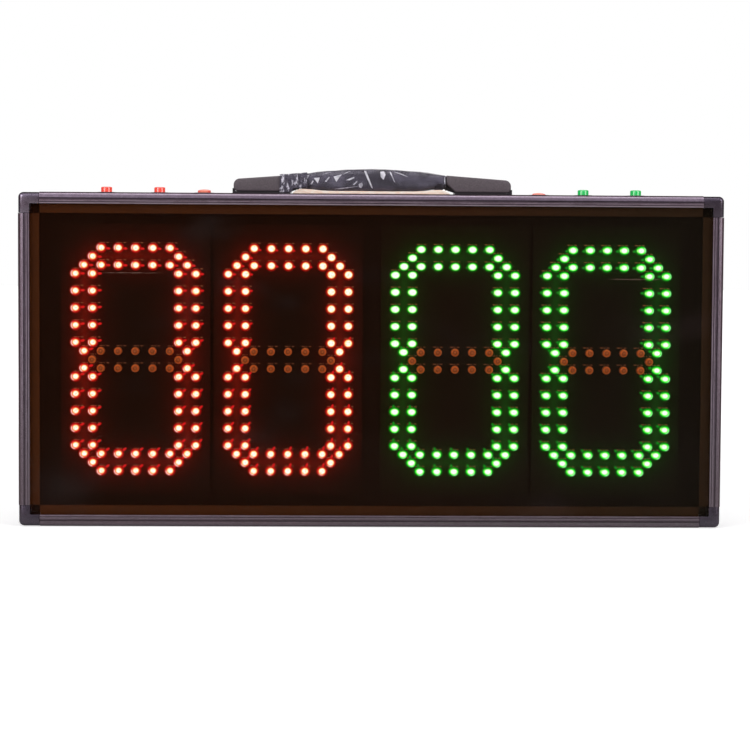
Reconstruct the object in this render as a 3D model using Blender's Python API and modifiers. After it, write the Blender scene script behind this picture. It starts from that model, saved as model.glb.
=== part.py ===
# Electronic substitution board: a shallow framed case with four LED digits behind a smoked window,
# a lift-up carry handle, push buttons and power rockers along its top.
# Metres. X runs across the front, Y to the back and Z up, from the middle of the bottom face.
import math

import bmesh
import bpy
from mathutils import Matrix

# Case
BOARD_WIDTH = 0.680
BOARD_HEIGHT = 0.322
BOARD_DEPTH = 0.050
SEAT_GAP = 0.0003

# Extruded bars
BAR_WALL = 0.0018
LIP_REACH = 0.0112
LIP_THICK = 0.0018
SUPPORT_REACH = 0.0200
SUPPORT_THICK = 0.0016
REAR_REACH = 0.0105
RIB_THICK = 0.0014
SHOULDER_RADIUS = 0.0032
GROOVE_AT = 0.0054
GROOVE_WIDTH = 0.0012
GROOVE_DEPTH = 0.0006
FLUTE_AT = 0.0091
FLUTE_WIDTH = 0.0005
FLUTE_DEPTH = 0.0003
LIP_CHAMFER = 0.0005

# Moulded corners
CORNER_LEG = 0.0203
CORNER_INSET = 0.0004
CORNER_RADIUS = 0.0050
CORNER_WALL = 0.0028
CORNER_EDGE = 0.0008
KEY_LENGTH = 0.018
KEY_THICK = 0.006
KEY_WIDTH = 0.028
KEY_ROOT = 0.002

# Countersunk corner screws
SCREW_HEAD_RADIUS = 0.0030
SCREW_HEAD_DEPTH = 0.0016
SCREW_RADIUS = 0.0015
SCREW_LENGTH = 0.0068
SCREW_SINK = 0.0001

# Window and back panel
WINDOW_THICK = 0.003
BACK_THICK = 0.002

# Lamp lattice, in half pitches from the middle of a digit: rows up from the middle, columns across
HALF_PITCH = 0.0083
LAMP_ROWS = {
    13: (-4, -2, 0, 2, 4),
    12: (-5, 5),
    11: (-6, -4, -2, 0, 2, 4, 6),
    10: (-7, -5, 5, 7),
    8: (-7, -5, 5, 7),
    6: (-7, -5, 5, 7),
    4: (-7, -5, 5, 7),
    2: (-7, -5, 5, 7),
    1: (-6, -4, -2, 0, 2, 4, 6),
    0: (-5, 5),
}
LAMP_RADIUS = 0.004
LAMP_HEIGHT = 0.0084
LAMP_DOME = 0.0032
LAMP_SIDES = 5
LAMP_CLEARANCE = 0.001

# Digit boards and the tray behind them
MIDDLE_PITCH = 0.1616
DIGIT_PITCH = 0.1474
PCB_WIDTH = 0.144
PCB_HEIGHT = 0.262
PCB_THICK = 0.0016
STUD_RADIUS = 0.003
STUD_LENGTH = 0.0021
STUD_MARGIN = 0.008
TRAY_THICK = 0.0015

# Control board
CONTROL_WIDTH = 0.120
CONTROL_HEIGHT = 0.060
CONTROL_FROM_TOP = 0.090
CONTROL_STUD = 0.006
CHIP_SIZES = ((0.022, 0.022, 0.003), (0.014, 0.030, 0.007), (0.030, 0.010, 0.009))
CHIP_SPREAD = 0.036

# Battery pack: cells in a row, lying across the board
CELL_RADIUS = 0.0092
CELL_LENGTH = 0.068
CELL_COUNT = 3
CELL_WAIST = 60
BATTERY_Z = 0.075
CLAMP_THICK = 0.0012
CLAMP_WIDTH = 0.020
CLAMP_FLANGE = 0.009

# Charging socket in the back panel
SOCKET_FROM_SIDE = 0.090
SOCKET_Z = 0.060
SOCKET_BORE = 0.0033
SOCKET_BORE_DEPTH = 0.0095
SOCKET_RADIUS = 0.0057
SOCKET_FLANGE_RADIUS = 0.0075
SOCKET_FLANGE_THICK = 0.0012
SOCKET_LENGTH = 0.014
SOCKET_NUT_FLATS = 0.015
SOCKET_NUT_THICK = 0.0025

# Push buttons, outwards from the rockers
BUTTON_FROM_ROCKER = 0.0433
BUTTON_SPACING = 0.0515
CONTROL_Y = 0.008
CAP_RADIUS = 0.0054
CAP_RISE = 0.0060
CAP_SINK = 0.0050
CAP_EDGE = 0.0006
CAP_TRAVEL = 0.003
CAP_SKIRT_REACH = 0.0006
CAP_SKIRT_DROP = 0.0015
BARREL_WALL = 0.0010
BARREL_LENGTH = 0.0105
FLANGE_REACH = 0.0018
FLANGE_THICK = 0.0004
BUTTON_TAIL_RADIUS = 0.005
BUTTON_TAIL_LENGTH = 0.0055
BUTTON_NUT_FLATS = 0.018
BUTTON_NUT_THICK = 0.0025

# Power rockers, outwards from the handle
ROCKER_FROM_CAP = 0.0291
ROCKER_END_RISES = {"left": 0.0047, "right": 0.0034}
ROCKER_RADIUS = 0.0063
ROCKER_PIVOT_DROP = 0.0015
ROCKER_DIP = 0.0011
ROCKER_SKIRT = 0.006
ROCKER_SKIRT_HALF = 0.0042
ROCKER_THROW = math.radians(9)
ROCKER_CLEARANCE = 0.0007
TRUNNION_RADIUS = 0.0008
TRUNNION_REACH = 0.0008
HOUSING_WALL = 0.0014
HOUSING_DEPTH = 0.0125
HOUSING_FLOOR = 0.0015

# Handle grip, heights above the top face
GRIP_HALF_LENGTH = 0.0712
GRIP_TOP = 0.024
GRIP_ARCH_RADIUS = 0.440
GRIP_BOTTOM = 0.0032
GRIP_UNDER_RISE = 0.0023
GRIP_UNDER_INSET = 0.0058
GRIP_UNDER_RUN = 0.026
GRIP_HALF_WIDTH = 0.013
GRIP_END_HALF_WIDTH = 0.0115
GRIP_SQUARENESS = 2.8
GRIP_POINTS = 12
GRIP_FACET_TOP = 0.0152
GRIP_FACET_RUN = 0.0050
GRIP_FACET_DEPTH = 0.0012
FORK_DEPTH = 0.0072
FORK_ROOF = 0.0005

# Handle links, hinged in the grip's ends and sliding in the caps
LINK_PIVOT_INSET = 0.0038
LINK_PIVOT_Z = 0.0086
LINK_KNUCKLE = 0.0030
LINK_WIDTH = 0.014
LINK_THICK = 0.0023
LINK_NECK_IN_CAP = 0.0074
LINK_PAST_POST = 0.015
LINK_RIB_COUNT = 2
LINK_RIB_SLOPE = 0.50
LINK_RIB_DROP = 0.0016
LINK_RIB_SHARE = 1 / 3
LINK_SLIDE = 0.0050
PIN_RADIUS = 0.0015
PIN_LENGTH = 0.018

# Handle bases, caps, posts and backing plates
BASE_INSET = 0.0079
BASE_FLARE = 0.0010
BASE_UPTURN = 75
BASE_THICK = 0.0014
CAP_GAP = 0.0004
CAP_LENGTH = 0.0623
CAP_HALF_WIDTH = 0.014
CAP_INNER_TOP = 0.0183
CAP_OUTER_TOP = 0.0137
CAP_TOP_RADIUS = 0.0060
CAP_FOOT_RADIUS = 0.0040
CAP_MOUTH_LIP = 0.0108
CAP_WALL = 0.0020
CAP_ROUND = 0.0012
CAP_NOTCH_LENGTH = 0.0209
CAP_NOTCH_SIDE = 0.0006
RAIL_THICK = 0.0015
RAIL_HEIGHT = 0.0033
RAIL_END_GAP = 0.0025
POST_INSET = 0.0314
POST_RADIUS = 0.00325
POST_TOP = 0.0103
PEG_INSET = 0.007
PEG_RADIUS = 0.0020
PEG_LENGTH = 0.0045
HANDLE_SCREW_RADIUS = 0.0018
HANDLE_SCREW_HEAD = 0.0035
HANDLE_SCREW_HEAD_HEIGHT = 0.0022
HANDLE_SCREW_LENGTH = 0.0195
BACKING_THICK = 0.002
BACKING_MARGIN = 0.007
BACKING_HALF_WIDTH = 0.0045

# Clear film round the grip, its ends cut on the slant
FILM_INSET = 0.0083
FILM_SLANT = 0.42
FILM_CLEARANCE = 0.0005
FILM_THICK = 0.0004

ROUND_STEPS = 12
SMALL_STEPS = 8
ARC_STEPS = 4
WELD = 0.000001
FLAT = 0.001

# Depths through the case, front to back
front_face = -BOARD_DEPTH / 2
window_front = front_face + LIP_THICK + SEAT_GAP
window_back = window_front + WINDOW_THICK
support_front = window_back + SEAT_GAP
lamp_tip = window_back + LAMP_CLEARANCE
pcb_front = lamp_tip + LAMP_HEIGHT
pcb_back = pcb_front + PCB_THICK
tray_front = pcb_back + STUD_LENGTH + SEAT_GAP
tray_back = tray_front + TRAY_THICK
panel_back = BOARD_DEPTH / 2 - LIP_THICK - SEAT_GAP
panel_front = panel_back - BACK_THICK
rib_back = panel_front - SEAT_GAP

# Distances in from the case's outer faces
slot_floor = CORNER_INSET + CORNER_WALL
sheet_inset = slot_floor + SEAT_GAP
key_outer = BAR_WALL + SEAT_GAP
key_inner = key_outer + KEY_THICK
tray_inset = key_inner + SEAT_GAP
screw_from_corner = CORNER_LEG + KEY_LENGTH / 2

# Places along the board
outer_digit = MIDDLE_PITCH / 2 + DIGIT_PITCH
digit_centres = (-outer_digit, -MIDDLE_PITCH / 2, MIDDLE_PITCH / 2, outer_digit)
socket_x = BOARD_WIDTH / 2 - SOCKET_FROM_SIDE
control_z = BOARD_HEIGHT - CONTROL_FROM_TOP
cap_inner = GRIP_HALF_LENGTH + CAP_GAP
cap_outer = cap_inner + CAP_LENGTH
base_inner = cap_inner + BASE_INSET
post_x = cap_inner + POST_INSET
peg_x = cap_outer - PEG_INSET
rocker_x = cap_outer + ROCKER_FROM_CAP
inner_button_x = rocker_x + BUTTON_FROM_ROCKER
outer_button_x = inner_button_x + BUTTON_SPACING
rocker_places = {"left": -rocker_x, "right": rocker_x}
button_places = {
    "left_outer": -outer_button_x,
    "left_inner": -inner_button_x,
    "right_inner": inner_button_x,
    "right_outer": outer_button_x,
}

# Grip, film and links
under_end = GRIP_HALF_LENGTH - GRIP_UNDER_INSET
under_start = under_end - GRIP_UNDER_RUN
film_half_length = GRIP_HALF_LENGTH - FILM_INSET
link_pivot_x = GRIP_HALF_LENGTH - LINK_PIVOT_INSET

# Round controls
skirt_radius = CAP_RADIUS + CAP_SKIRT_REACH
barrel_radius = skirt_radius + SEAT_GAP + BARREL_WALL
rocker_bore = ROCKER_RADIUS + ROCKER_CLEARANCE
housing_radius = rocker_bore + HOUSING_WALL

# Handle levels above the top face
base_top = SEAT_GAP + BASE_THICK
cap_foot = base_top + SEAT_GAP
cap_mouth_foot = cap_inner + CAP_MOUTH_LIP - cap_foot
link_bottom = cap_foot
backing_top = -BAR_WALL - SEAT_GAP


def clear_scene():
    for obj in list(bpy.data.objects):
        bpy.data.objects.remove(obj)


def new_collection(name):
    collection = bpy.data.collections.new(name)
    bpy.context.scene.collection.children.link(collection)
    return collection


def new_surface(name, colour, roughness, metallic=0.0, alpha=1.0):
    surface = bpy.data.materials.new(name)
    surface.use_nodes = True
    shader = surface.node_tree.nodes["Principled BSDF"]
    shader.inputs["Base Color"].default_value = (*colour, 1.0)
    shader.inputs["Roughness"].default_value = roughness
    shader.inputs["Metallic"].default_value = metallic
    shader.inputs["Alpha"].default_value = alpha
    surface.diffuse_color = (*colour, alpha)
    return surface


def place(name, mesh, surface, at=(0.0, 0.0, 0.0), turn=(0.0, 0.0, 0.0)):
    """A named piece of the board, made of one mesh in one material."""
    if surface.name not in mesh.materials:
        mesh.materials.append(surface)
    obj = bpy.data.objects.new(name, mesh)
    obj.location = at
    obj.rotation_euler = turn
    parts.objects.link(obj)
    return obj


def read_mesh(obj):
    """The mesh that an object shows once its modifiers have run, welded."""
    graph = bpy.context.evaluated_depsgraph_get()
    mesh = bpy.data.meshes.new_from_object(obj.evaluated_get(graph))
    shape = bmesh.new()
    shape.from_mesh(mesh)
    bmesh.ops.remove_doubles(shape, verts=shape.verts, dist=WELD)
    shape.to_mesh(mesh)
    shape.free()
    return mesh


def combined(base, tools, operation="DIFFERENCE"):
    """The base mesh with each tool mesh taken from it, joined to it or crossed with it."""
    work = bpy.data.objects.new("work", base)
    cutters.objects.link(work)
    helpers = []
    for tool in tools:
        helper = bpy.data.objects.new("tool", tool)
        helper.hide_render = True
        helper.display_type = "WIRE"
        cutters.objects.link(helper)
        step = work.modifiers.new("step", "BOOLEAN")
        step.operation = operation
        step.object = helper
        helpers.append(helper)
    bpy.context.view_layer.update()
    mesh = read_mesh(work)
    for obj in [work, *helpers]:
        bpy.data.objects.remove(obj)
    return mesh


def moved(mesh, at=(0.0, 0.0, 0.0), turn=0.0, axis="X"):
    """The mesh turned about one axis of its own, then shifted."""
    mesh.transform(Matrix.Translation(at) @ Matrix.Rotation(turn, 4, axis))
    return mesh


def box(low, high):
    shape = bmesh.new()
    size = [b - a for a, b in zip(low, high)]
    middle = [(a + b) / 2 for a, b in zip(low, high)]
    fit = Matrix.Translation(middle) @ Matrix.Diagonal((*size, 1.0))
    bmesh.ops.create_cube(shape, size=1.0, matrix=fit)
    mesh = bpy.data.meshes.new("box")
    shape.to_mesh(mesh)
    shape.free()
    return mesh


def prism(outline, length):
    """A flat outline in X and Y, made thick by length about Z = 0."""
    curve = bpy.data.curves.new("outline", "CURVE")
    curve.dimensions = "2D"
    curve.fill_mode = "BOTH"
    curve.extrude = length / 2
    line = curve.splines.new("POLY")
    line.points.add(len(outline) - 1)
    for point, (x, y) in zip(line.points, outline):
        point.co = (x, y, 0.0, 1.0)
    line.use_cyclic_u = True
    holder = bpy.data.objects.new("outline", curve)
    cutters.objects.link(holder)
    mesh = read_mesh(holder)
    bpy.data.objects.remove(holder)
    shape = bmesh.new()
    shape.from_mesh(mesh)
    bmesh.ops.recalc_face_normals(shape, faces=shape.faces)
    shape.to_mesh(mesh)
    shape.free()
    return mesh


def side_prism(outline, width):
    """An outline in X and Z, made wide by width about Y = 0."""
    return moved(prism(outline, width), turn=math.pi / 2)


def across_prism(outline, length):
    """An outline in Y and Z, made long by length about X = 0."""
    mesh = prism(outline, length)
    mesh.transform(Matrix(((0, 0, 1, 0), (1, 0, 0, 0), (0, 1, 0, 0), (0, 0, 0, 1))))
    return mesh


def turned(profile, steps):
    """A profile of (radius, height) pairs turned about Z. It runs down the outer side."""
    shape = bmesh.new()
    points = [shape.verts.new((radius, 0.0, height)) for radius, height in profile]
    for a, b in zip(points, points[1:]):
        shape.edges.new((a, b))
    mesh = bpy.data.meshes.new("profile")
    shape.to_mesh(mesh)
    shape.free()
    holder = bpy.data.objects.new("profile", mesh)
    cutters.objects.link(holder)
    screw = holder.modifiers.new("turn", "SCREW")
    screw.steps = steps
    screw.render_steps = steps
    screw.use_merge_vertices = True
    screw.merge_threshold = WELD
    bpy.context.view_layer.update()
    result = read_mesh(holder)
    bpy.data.objects.remove(holder)
    return result


def plug(radius, top, bottom, steps):
    """A plain turned plug between two heights, as a round cutter, pin or post."""
    return turned([(0.0, top), (radius, top), (radius, bottom), (0.0, bottom)], steps)


def chamfered(mesh, width, least_angle=30):
    """The mesh with its sharp edges bevelled."""
    shape = bmesh.new()
    shape.from_mesh(mesh)
    bmesh.ops.dissolve_limit(shape, angle_limit=FLAT, verts=shape.verts, edges=shape.edges)
    sharp = [e for e in shape.edges if e.calc_face_angle(0.0) > math.radians(least_angle)]
    bmesh.ops.bevel(shape, geom=sharp, offset=width, segments=1, affect="EDGES", clamp_overlap=True)
    shape.to_mesh(mesh)
    shape.free()
    return mesh


def joined_apart(meshes):
    """Several closed meshes in one, still apart, for use as one cutter or one union."""
    shape = bmesh.new()
    for mesh in meshes:
        shape.from_mesh(mesh)
    result = bpy.data.meshes.new("group")
    shape.to_mesh(result)
    shape.free()
    return result


def arc(centre, radius, start, end, steps=ARC_STEPS):
    """Points along an arc, with angles in degrees, both ends included."""
    angles = [math.radians(start + (end - start) * i / steps) for i in range(steps + 1)]
    return [(centre[0] + radius * math.cos(a), centre[1] + radius * math.sin(a)) for a in angles]


def shade(obj, degrees=35):
    """Smooth shading that keeps edges sharper than the angle."""
    obj.data.shade_smooth()
    obj.data.set_sharp_from_angle(angle=math.radians(degrees))
    return obj


def notch(at, width, depth):
    """Four points of a square notch in a face at front_face, walked towards the outer side."""
    floor = front_face + depth
    return [(at + width, front_face), (at + width, floor), (at, floor), (at, front_face)]


def bar_outline():
    """Section of a bar: X in from the outer face, Y to the back."""
    back_face = -front_face
    lip_back = front_face + LIP_THICK
    rear_lip = back_face - LIP_THICK
    support_back = support_front + SUPPORT_THICK
    outline = arc((SHOULDER_RADIUS, front_face + SHOULDER_RADIUS), SHOULDER_RADIUS, 270, 180)
    outline += arc((SHOULDER_RADIUS, back_face - SHOULDER_RADIUS), SHOULDER_RADIUS, 180, 90)
    outline += [(REAR_REACH, back_face), (REAR_REACH, rear_lip), (BAR_WALL, rear_lip)]
    outline += [(BAR_WALL, rib_back), (REAR_REACH, rib_back), (REAR_REACH, rib_back - RIB_THICK)]
    outline += [(BAR_WALL, rib_back - RIB_THICK), (BAR_WALL, support_back)]
    outline += [(SUPPORT_REACH, support_back), (SUPPORT_REACH, support_front)]
    outline += [(BAR_WALL, support_front), (BAR_WALL, lip_back), (LIP_REACH, lip_back)]
    outline += [(LIP_REACH, front_face + LIP_CHAMFER), (LIP_REACH - LIP_CHAMFER, front_face)]
    outline += notch(FLUTE_AT, FLUTE_WIDTH, FLUTE_DEPTH)
    outline += notch(GROOVE_AT, GROOVE_WIDTH, GROOVE_DEPTH)
    return outline


def countersink(along, wall_side):
    """Cutter for a corner screw's hole in a bar, its axis on the bar's -X, at a place along the bar."""
    edge = SCREW_HEAD_RADIUS + SEAT_GAP
    shank = SCREW_RADIUS + SEAT_GAP
    far = -BAR_WALL - wall_side
    profile = [(0.0, wall_side), (edge, wall_side), (edge, -SCREW_SINK)]
    profile += [(shank, -SCREW_SINK - SCREW_HEAD_DEPTH), (shank, far), (0.0, far)]
    return moved(turned(profile, SMALL_STEPS), at=(0.0, 0.0, along), turn=-math.pi / 2, axis="Y")


def wall_hole(radius, x, y, steps=ROUND_STEPS):
    """Cutter for a round hole through the top bar's wall, in the bar's own axes."""
    over = BAR_WALL / 2
    return moved(plug(radius, over, -BAR_WALL - over, steps), (0.0, y, x), -math.pi / 2, "Y")


def make_bar(name, across, at, turn, holes=()):
    """A bar between two corners. Across is the board's size along the bar."""
    length = across - 2 * (CORNER_LEG + SEAT_GAP)
    sinks = [countersink(side * (across / 2 - screw_from_corner), BAR_WALL / 2) for side in (-1, 1)]
    mesh = combined(prism(bar_outline(), length), [*sinks, *holes])
    shade(place(name, mesh, anodised, at, (0.0, turn, 0.0)))


def make_frame():
    holes = []
    for x in button_places.values():
        holes.append(wall_hole(barrel_radius + SEAT_GAP, x, CONTROL_Y))
    for x in rocker_places.values():
        holes.append(wall_hole(housing_radius + SEAT_GAP, x, CONTROL_Y))
    for side in (-1, 1):
        holes.append(wall_hole(HANDLE_SCREW_RADIUS + SEAT_GAP, side * post_x, 0.0, SMALL_STEPS))
        holes.append(wall_hole(PEG_RADIUS + SEAT_GAP, side * peg_x, 0.0, SMALL_STEPS))
    middle = BOARD_HEIGHT / 2
    make_bar("left_bar", BOARD_HEIGHT, (-BOARD_WIDTH / 2, 0.0, middle), 0.0)
    make_bar("top_bar", BOARD_WIDTH, (0.0, 0.0, BOARD_HEIGHT), math.pi / 2, holes)
    make_bar("right_bar", BOARD_HEIGHT, (BOARD_WIDTH / 2, 0.0, middle), math.pi)
    make_bar("bottom_bar", BOARD_WIDTH, (0.0, 0.0, 0.0), -math.pi / 2)


def corner_mesh():
    """The bottom left corner, its outer corner at the origin and its legs along X and Z."""
    inner = CORNER_INSET
    bend = (inner + CORNER_RADIUS, inner + CORNER_RADIUS)
    outline = arc(bend, CORNER_RADIUS, 180, 270)
    outline += [(CORNER_LEG, inner), (CORNER_LEG, LIP_REACH), (LIP_REACH, LIP_REACH), (LIP_REACH, CORNER_LEG)]
    outline += [(inner, CORNER_LEG)]
    depth = BOARD_DEPTH - 2 * CORNER_INSET
    block = chamfered(side_prism(outline, depth), CORNER_EDGE)
    reach = CORNER_LEG + KEY_LENGTH
    root = CORNER_LEG - KEY_ROOT
    flat_key = box((root, -KEY_WIDTH / 2, key_outer), (reach, KEY_WIDTH / 2, key_inner))
    tall_key = box((key_outer, -KEY_WIDTH / 2, root), (key_inner, KEY_WIDTH / 2, reach))
    block = combined(block, [flat_key, tall_key], "UNION")
    far = CORNER_LEG + KEY_ROOT
    window_slot = box((slot_floor, window_front - SEAT_GAP, slot_floor), (far, support_front, far))
    panel_slot = box((slot_floor, rib_back, slot_floor), (far, panel_back + SEAT_GAP, far))
    tray_slot = box((key_inner, tray_front - SEAT_GAP, key_inner), (far, tray_back + SEAT_GAP, far))
    shank = SCREW_RADIUS + SEAT_GAP
    depth_in = SCREW_SINK + SCREW_LENGTH + SEAT_GAP
    flat_hole = plug(shank, 0.0, -depth_in, SMALL_STEPS)
    tall_hole = flat_hole.copy()
    moved(flat_hole, (screw_from_corner, 0.0, 0.0), math.pi, "Y")
    moved(tall_hole, (0.0, 0.0, screw_from_corner), -math.pi / 2, "Y")
    return combined(block, [window_slot, panel_slot, tray_slot, flat_hole, tall_hole])


def make_corners():
    mesh = corner_mesh()
    half = BOARD_WIDTH / 2
    tip = -SCREW_SINK - SCREW_LENGTH
    head = [(0.0, -SCREW_SINK), (SCREW_HEAD_RADIUS, -SCREW_SINK)]
    head += [(SCREW_RADIUS, -SCREW_SINK - SCREW_HEAD_DEPTH), (SCREW_RADIUS, tip), (0.0, tip)]
    screw = turned(head, SMALL_STEPS)
    corners = {
        "bottom_left": (-half, 0.0, 0.0),
        "top_left": (-half, BOARD_HEIGHT, math.pi / 2),
        "top_right": (half, BOARD_HEIGHT, math.pi),
        "bottom_right": (half, 0.0, -math.pi / 2),
    }
    for name, (x, z, turn) in corners.items():
        shade(place("corner_" + name, mesh, moulded, (x, 0.0, z), (0.0, turn, 0.0)))
        across = math.copysign(half - screw_from_corner, x)
        up = screw_from_corner if z == 0.0 else z - screw_from_corner
        facing = math.pi if z == 0.0 else 0.0
        shade(place("screw_" + name + "_level", screw, steel, (across, 0.0, z), (0.0, facing, 0.0)))
        facing = math.copysign(math.pi / 2, x)
        shade(place("screw_" + name + "_upright", screw, steel, (x, 0.0, up), (0.0, facing, 0.0)))


def make_sheets():
    """The window and the back panel, which sit in the frame's front and rear grooves."""
    half = BOARD_WIDTH / 2 - sheet_inset
    low, high = sheet_inset, BOARD_HEIGHT - sheet_inset
    place("front_window", box((-half, window_front, low), (half, window_back, high)), smoked)
    panel = box((-half, panel_front, low), (half, panel_back, high))
    over = BACK_THICK / 2
    cutter = plug(SOCKET_RADIUS + SEAT_GAP, over, -BACK_THICK - over, ROUND_STEPS)
    cutter = moved(cutter, (socket_x, panel_back, SOCKET_Z), -math.pi / 2)
    place("back_panel", combined(panel, [cutter]), painted)


def lamp_places():
    """Every lamp of one digit, as (across, up) in half pitches. Rows below the middle repeat those above."""
    places = []
    for row, columns in LAMP_ROWS.items():
        for side in (-1, 1) if row else (1,):
            places += [(column, side * row) for column in columns]
    return places


def digit_board_mesh():
    """A digit's board and its lamps, middle of the board's front face at the origin, lamps towards -Y."""
    root = PCB_THICK / 2
    profile = [(0.0, LAMP_HEIGHT), (LAMP_RADIUS, LAMP_HEIGHT - LAMP_DOME), (LAMP_RADIUS, -root), (0.0, -root)]
    lamps = []
    for across, up in lamp_places():
        lamp = turned(profile, LAMP_SIDES)
        lamps.append(moved(lamp, (across * HALF_PITCH, 0.0, up * HALF_PITCH), math.pi / 2))
    board = box((-PCB_WIDTH / 2, 0.0, -PCB_HEIGHT / 2), (PCB_WIDTH / 2, PCB_THICK, PCB_HEIGHT / 2))
    studs = []
    for side in (-1, 1):
        for level in (-1, 1):
            x = side * (PCB_WIDTH / 2 - STUD_MARGIN)
            z = level * (PCB_HEIGHT / 2 - STUD_MARGIN)
            near = (x - STUD_RADIUS, PCB_THICK - root, z - STUD_RADIUS)
            far = (x + STUD_RADIUS, PCB_THICK + STUD_LENGTH, z + STUD_RADIUS)
            studs.append(box(near, far))
    return combined(board, [joined_apart(lamps), joined_apart(studs)], "UNION")


def make_display():
    mesh = digit_board_mesh()
    for number, x in enumerate(digit_centres, 1):
        place(f"digit_board_{number}", mesh, board_black, (x, pcb_front, BOARD_HEIGHT / 2))
    half = BOARD_WIDTH / 2 - tray_inset
    tray = box((-half, tray_front, tray_inset), (half, tray_back, BOARD_HEIGHT - tray_inset))
    place("display_tray", tray, painted)


def make_control_board():
    low = tray_back + SEAT_GAP
    face = low + CONTROL_STUD
    back = face + PCB_THICK
    root = face + PCB_THICK / 2
    half_width, half_height = CONTROL_WIDTH / 2, CONTROL_HEIGHT / 2
    board = box((-half_width, face, control_z - half_height), (half_width, back, control_z + half_height))
    extras = []
    for side in (-1, 1):
        for level in (-1, 1):
            x = side * (half_width - STUD_MARGIN)
            z = control_z + level * (half_height - STUD_MARGIN)
            r = STUD_RADIUS
            extras.append(box((x - r, low, z - r), (x + r, root, z + r)))
    first_x = -CHIP_SPREAD * (len(CHIP_SIZES) - 1) / 2
    for number, (wide, tall, thick) in enumerate(CHIP_SIZES):
        x = first_x + number * CHIP_SPREAD
        chip_low = (x - wide / 2, root, control_z - tall / 2)
        extras.append(box(chip_low, (x + wide / 2, back + thick, control_z + tall / 2)))
    place("control_board", combined(board, extras, "UNION"), board_green)


def make_battery():
    """Cells in a shrink wrap, one above another, held on the tray by a folded clamp."""
    middle_y = tray_back + SEAT_GAP + CELL_RADIUS
    first = BATTERY_Z - (CELL_COUNT - 1) * CELL_RADIUS
    centres = [first + 2 * CELL_RADIUS * i for i in range(CELL_COUNT)]
    outline = []
    for number, z in enumerate(centres):
        start = -90 if number == 0 else -CELL_WAIST
        end = 90 if number == CELL_COUNT - 1 else CELL_WAIST
        outline += arc((middle_y, z), CELL_RADIUS, start, end)
    for number, z in reversed(list(enumerate(centres))):
        start = 90 if number == CELL_COUNT - 1 else 180 - CELL_WAIST
        end = 270 if number == 0 else 180 + CELL_WAIST
        outline += arc((middle_y, z), CELL_RADIUS, start, end)[1 if number == CELL_COUNT - 1 else 0 :]
    outline.pop()
    shade(place("battery_pack", across_prism(outline, CELL_LENGTH), wrap_blue))

    foot = tray_back + SEAT_GAP
    roof = middle_y + CELL_RADIUS + SEAT_GAP
    low = centres[0] - CELL_RADIUS - SEAT_GAP
    high = centres[-1] + CELL_RADIUS + SEAT_GAP
    instep, crown = foot + CLAMP_THICK, roof + CLAMP_THICK
    outer_low, outer_high = low - CLAMP_THICK, high + CLAMP_THICK
    hat = [(foot, outer_low - CLAMP_FLANGE), (instep, outer_low - CLAMP_FLANGE), (instep, outer_low)]
    hat += [(crown, outer_low), (crown, outer_high), (instep, outer_high)]
    hat += [(instep, outer_high + CLAMP_FLANGE), (foot, outer_high + CLAMP_FLANGE)]
    hat += [(foot, high), (roof, high), (roof, low), (foot, low)]
    place("battery_clamp", across_prism(hat, CLAMP_WIDTH), steel)


def nut_mesh(flats, bore, thick):
    """A hexagon nut, its top face at Z = 0 and its bore down Z."""
    hexagon = arc((0.0, 0.0), flats / math.sqrt(3), 0, 300, 5)
    body = moved(prism(hexagon, thick), (0.0, 0.0, -thick / 2))
    return combined(body, [plug(bore, thick, -2 * thick, ROUND_STEPS)])


def make_charge_socket():
    """The socket from behind the panel, its nut on the panel's inner face."""
    front = -BACK_THICK - SEAT_GAP - SOCKET_LENGTH
    top = SEAT_GAP + SOCKET_FLANGE_THICK
    floor = top - SOCKET_BORE_DEPTH
    profile = [(0.0, floor), (SOCKET_BORE, floor), (SOCKET_BORE, top), (SOCKET_FLANGE_RADIUS, top)]
    profile += [(SOCKET_FLANGE_RADIUS, SEAT_GAP), (SOCKET_RADIUS, SEAT_GAP)]
    profile += [(SOCKET_RADIUS, front), (0.0, front)]
    at = (socket_x, panel_back, SOCKET_Z)
    shade(place("charge_socket", turned(profile, ROUND_STEPS), black_plastic, at, (-math.pi / 2, 0.0, 0.0)))
    nut = nut_mesh(SOCKET_NUT_FLATS, SOCKET_RADIUS + SEAT_GAP, SOCKET_NUT_THICK)
    at = (socket_x, panel_front - SEAT_GAP, SOCKET_Z)
    place("charge_socket_nut", nut, steel, at, (-math.pi / 2, 0.0, 0.0))


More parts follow.
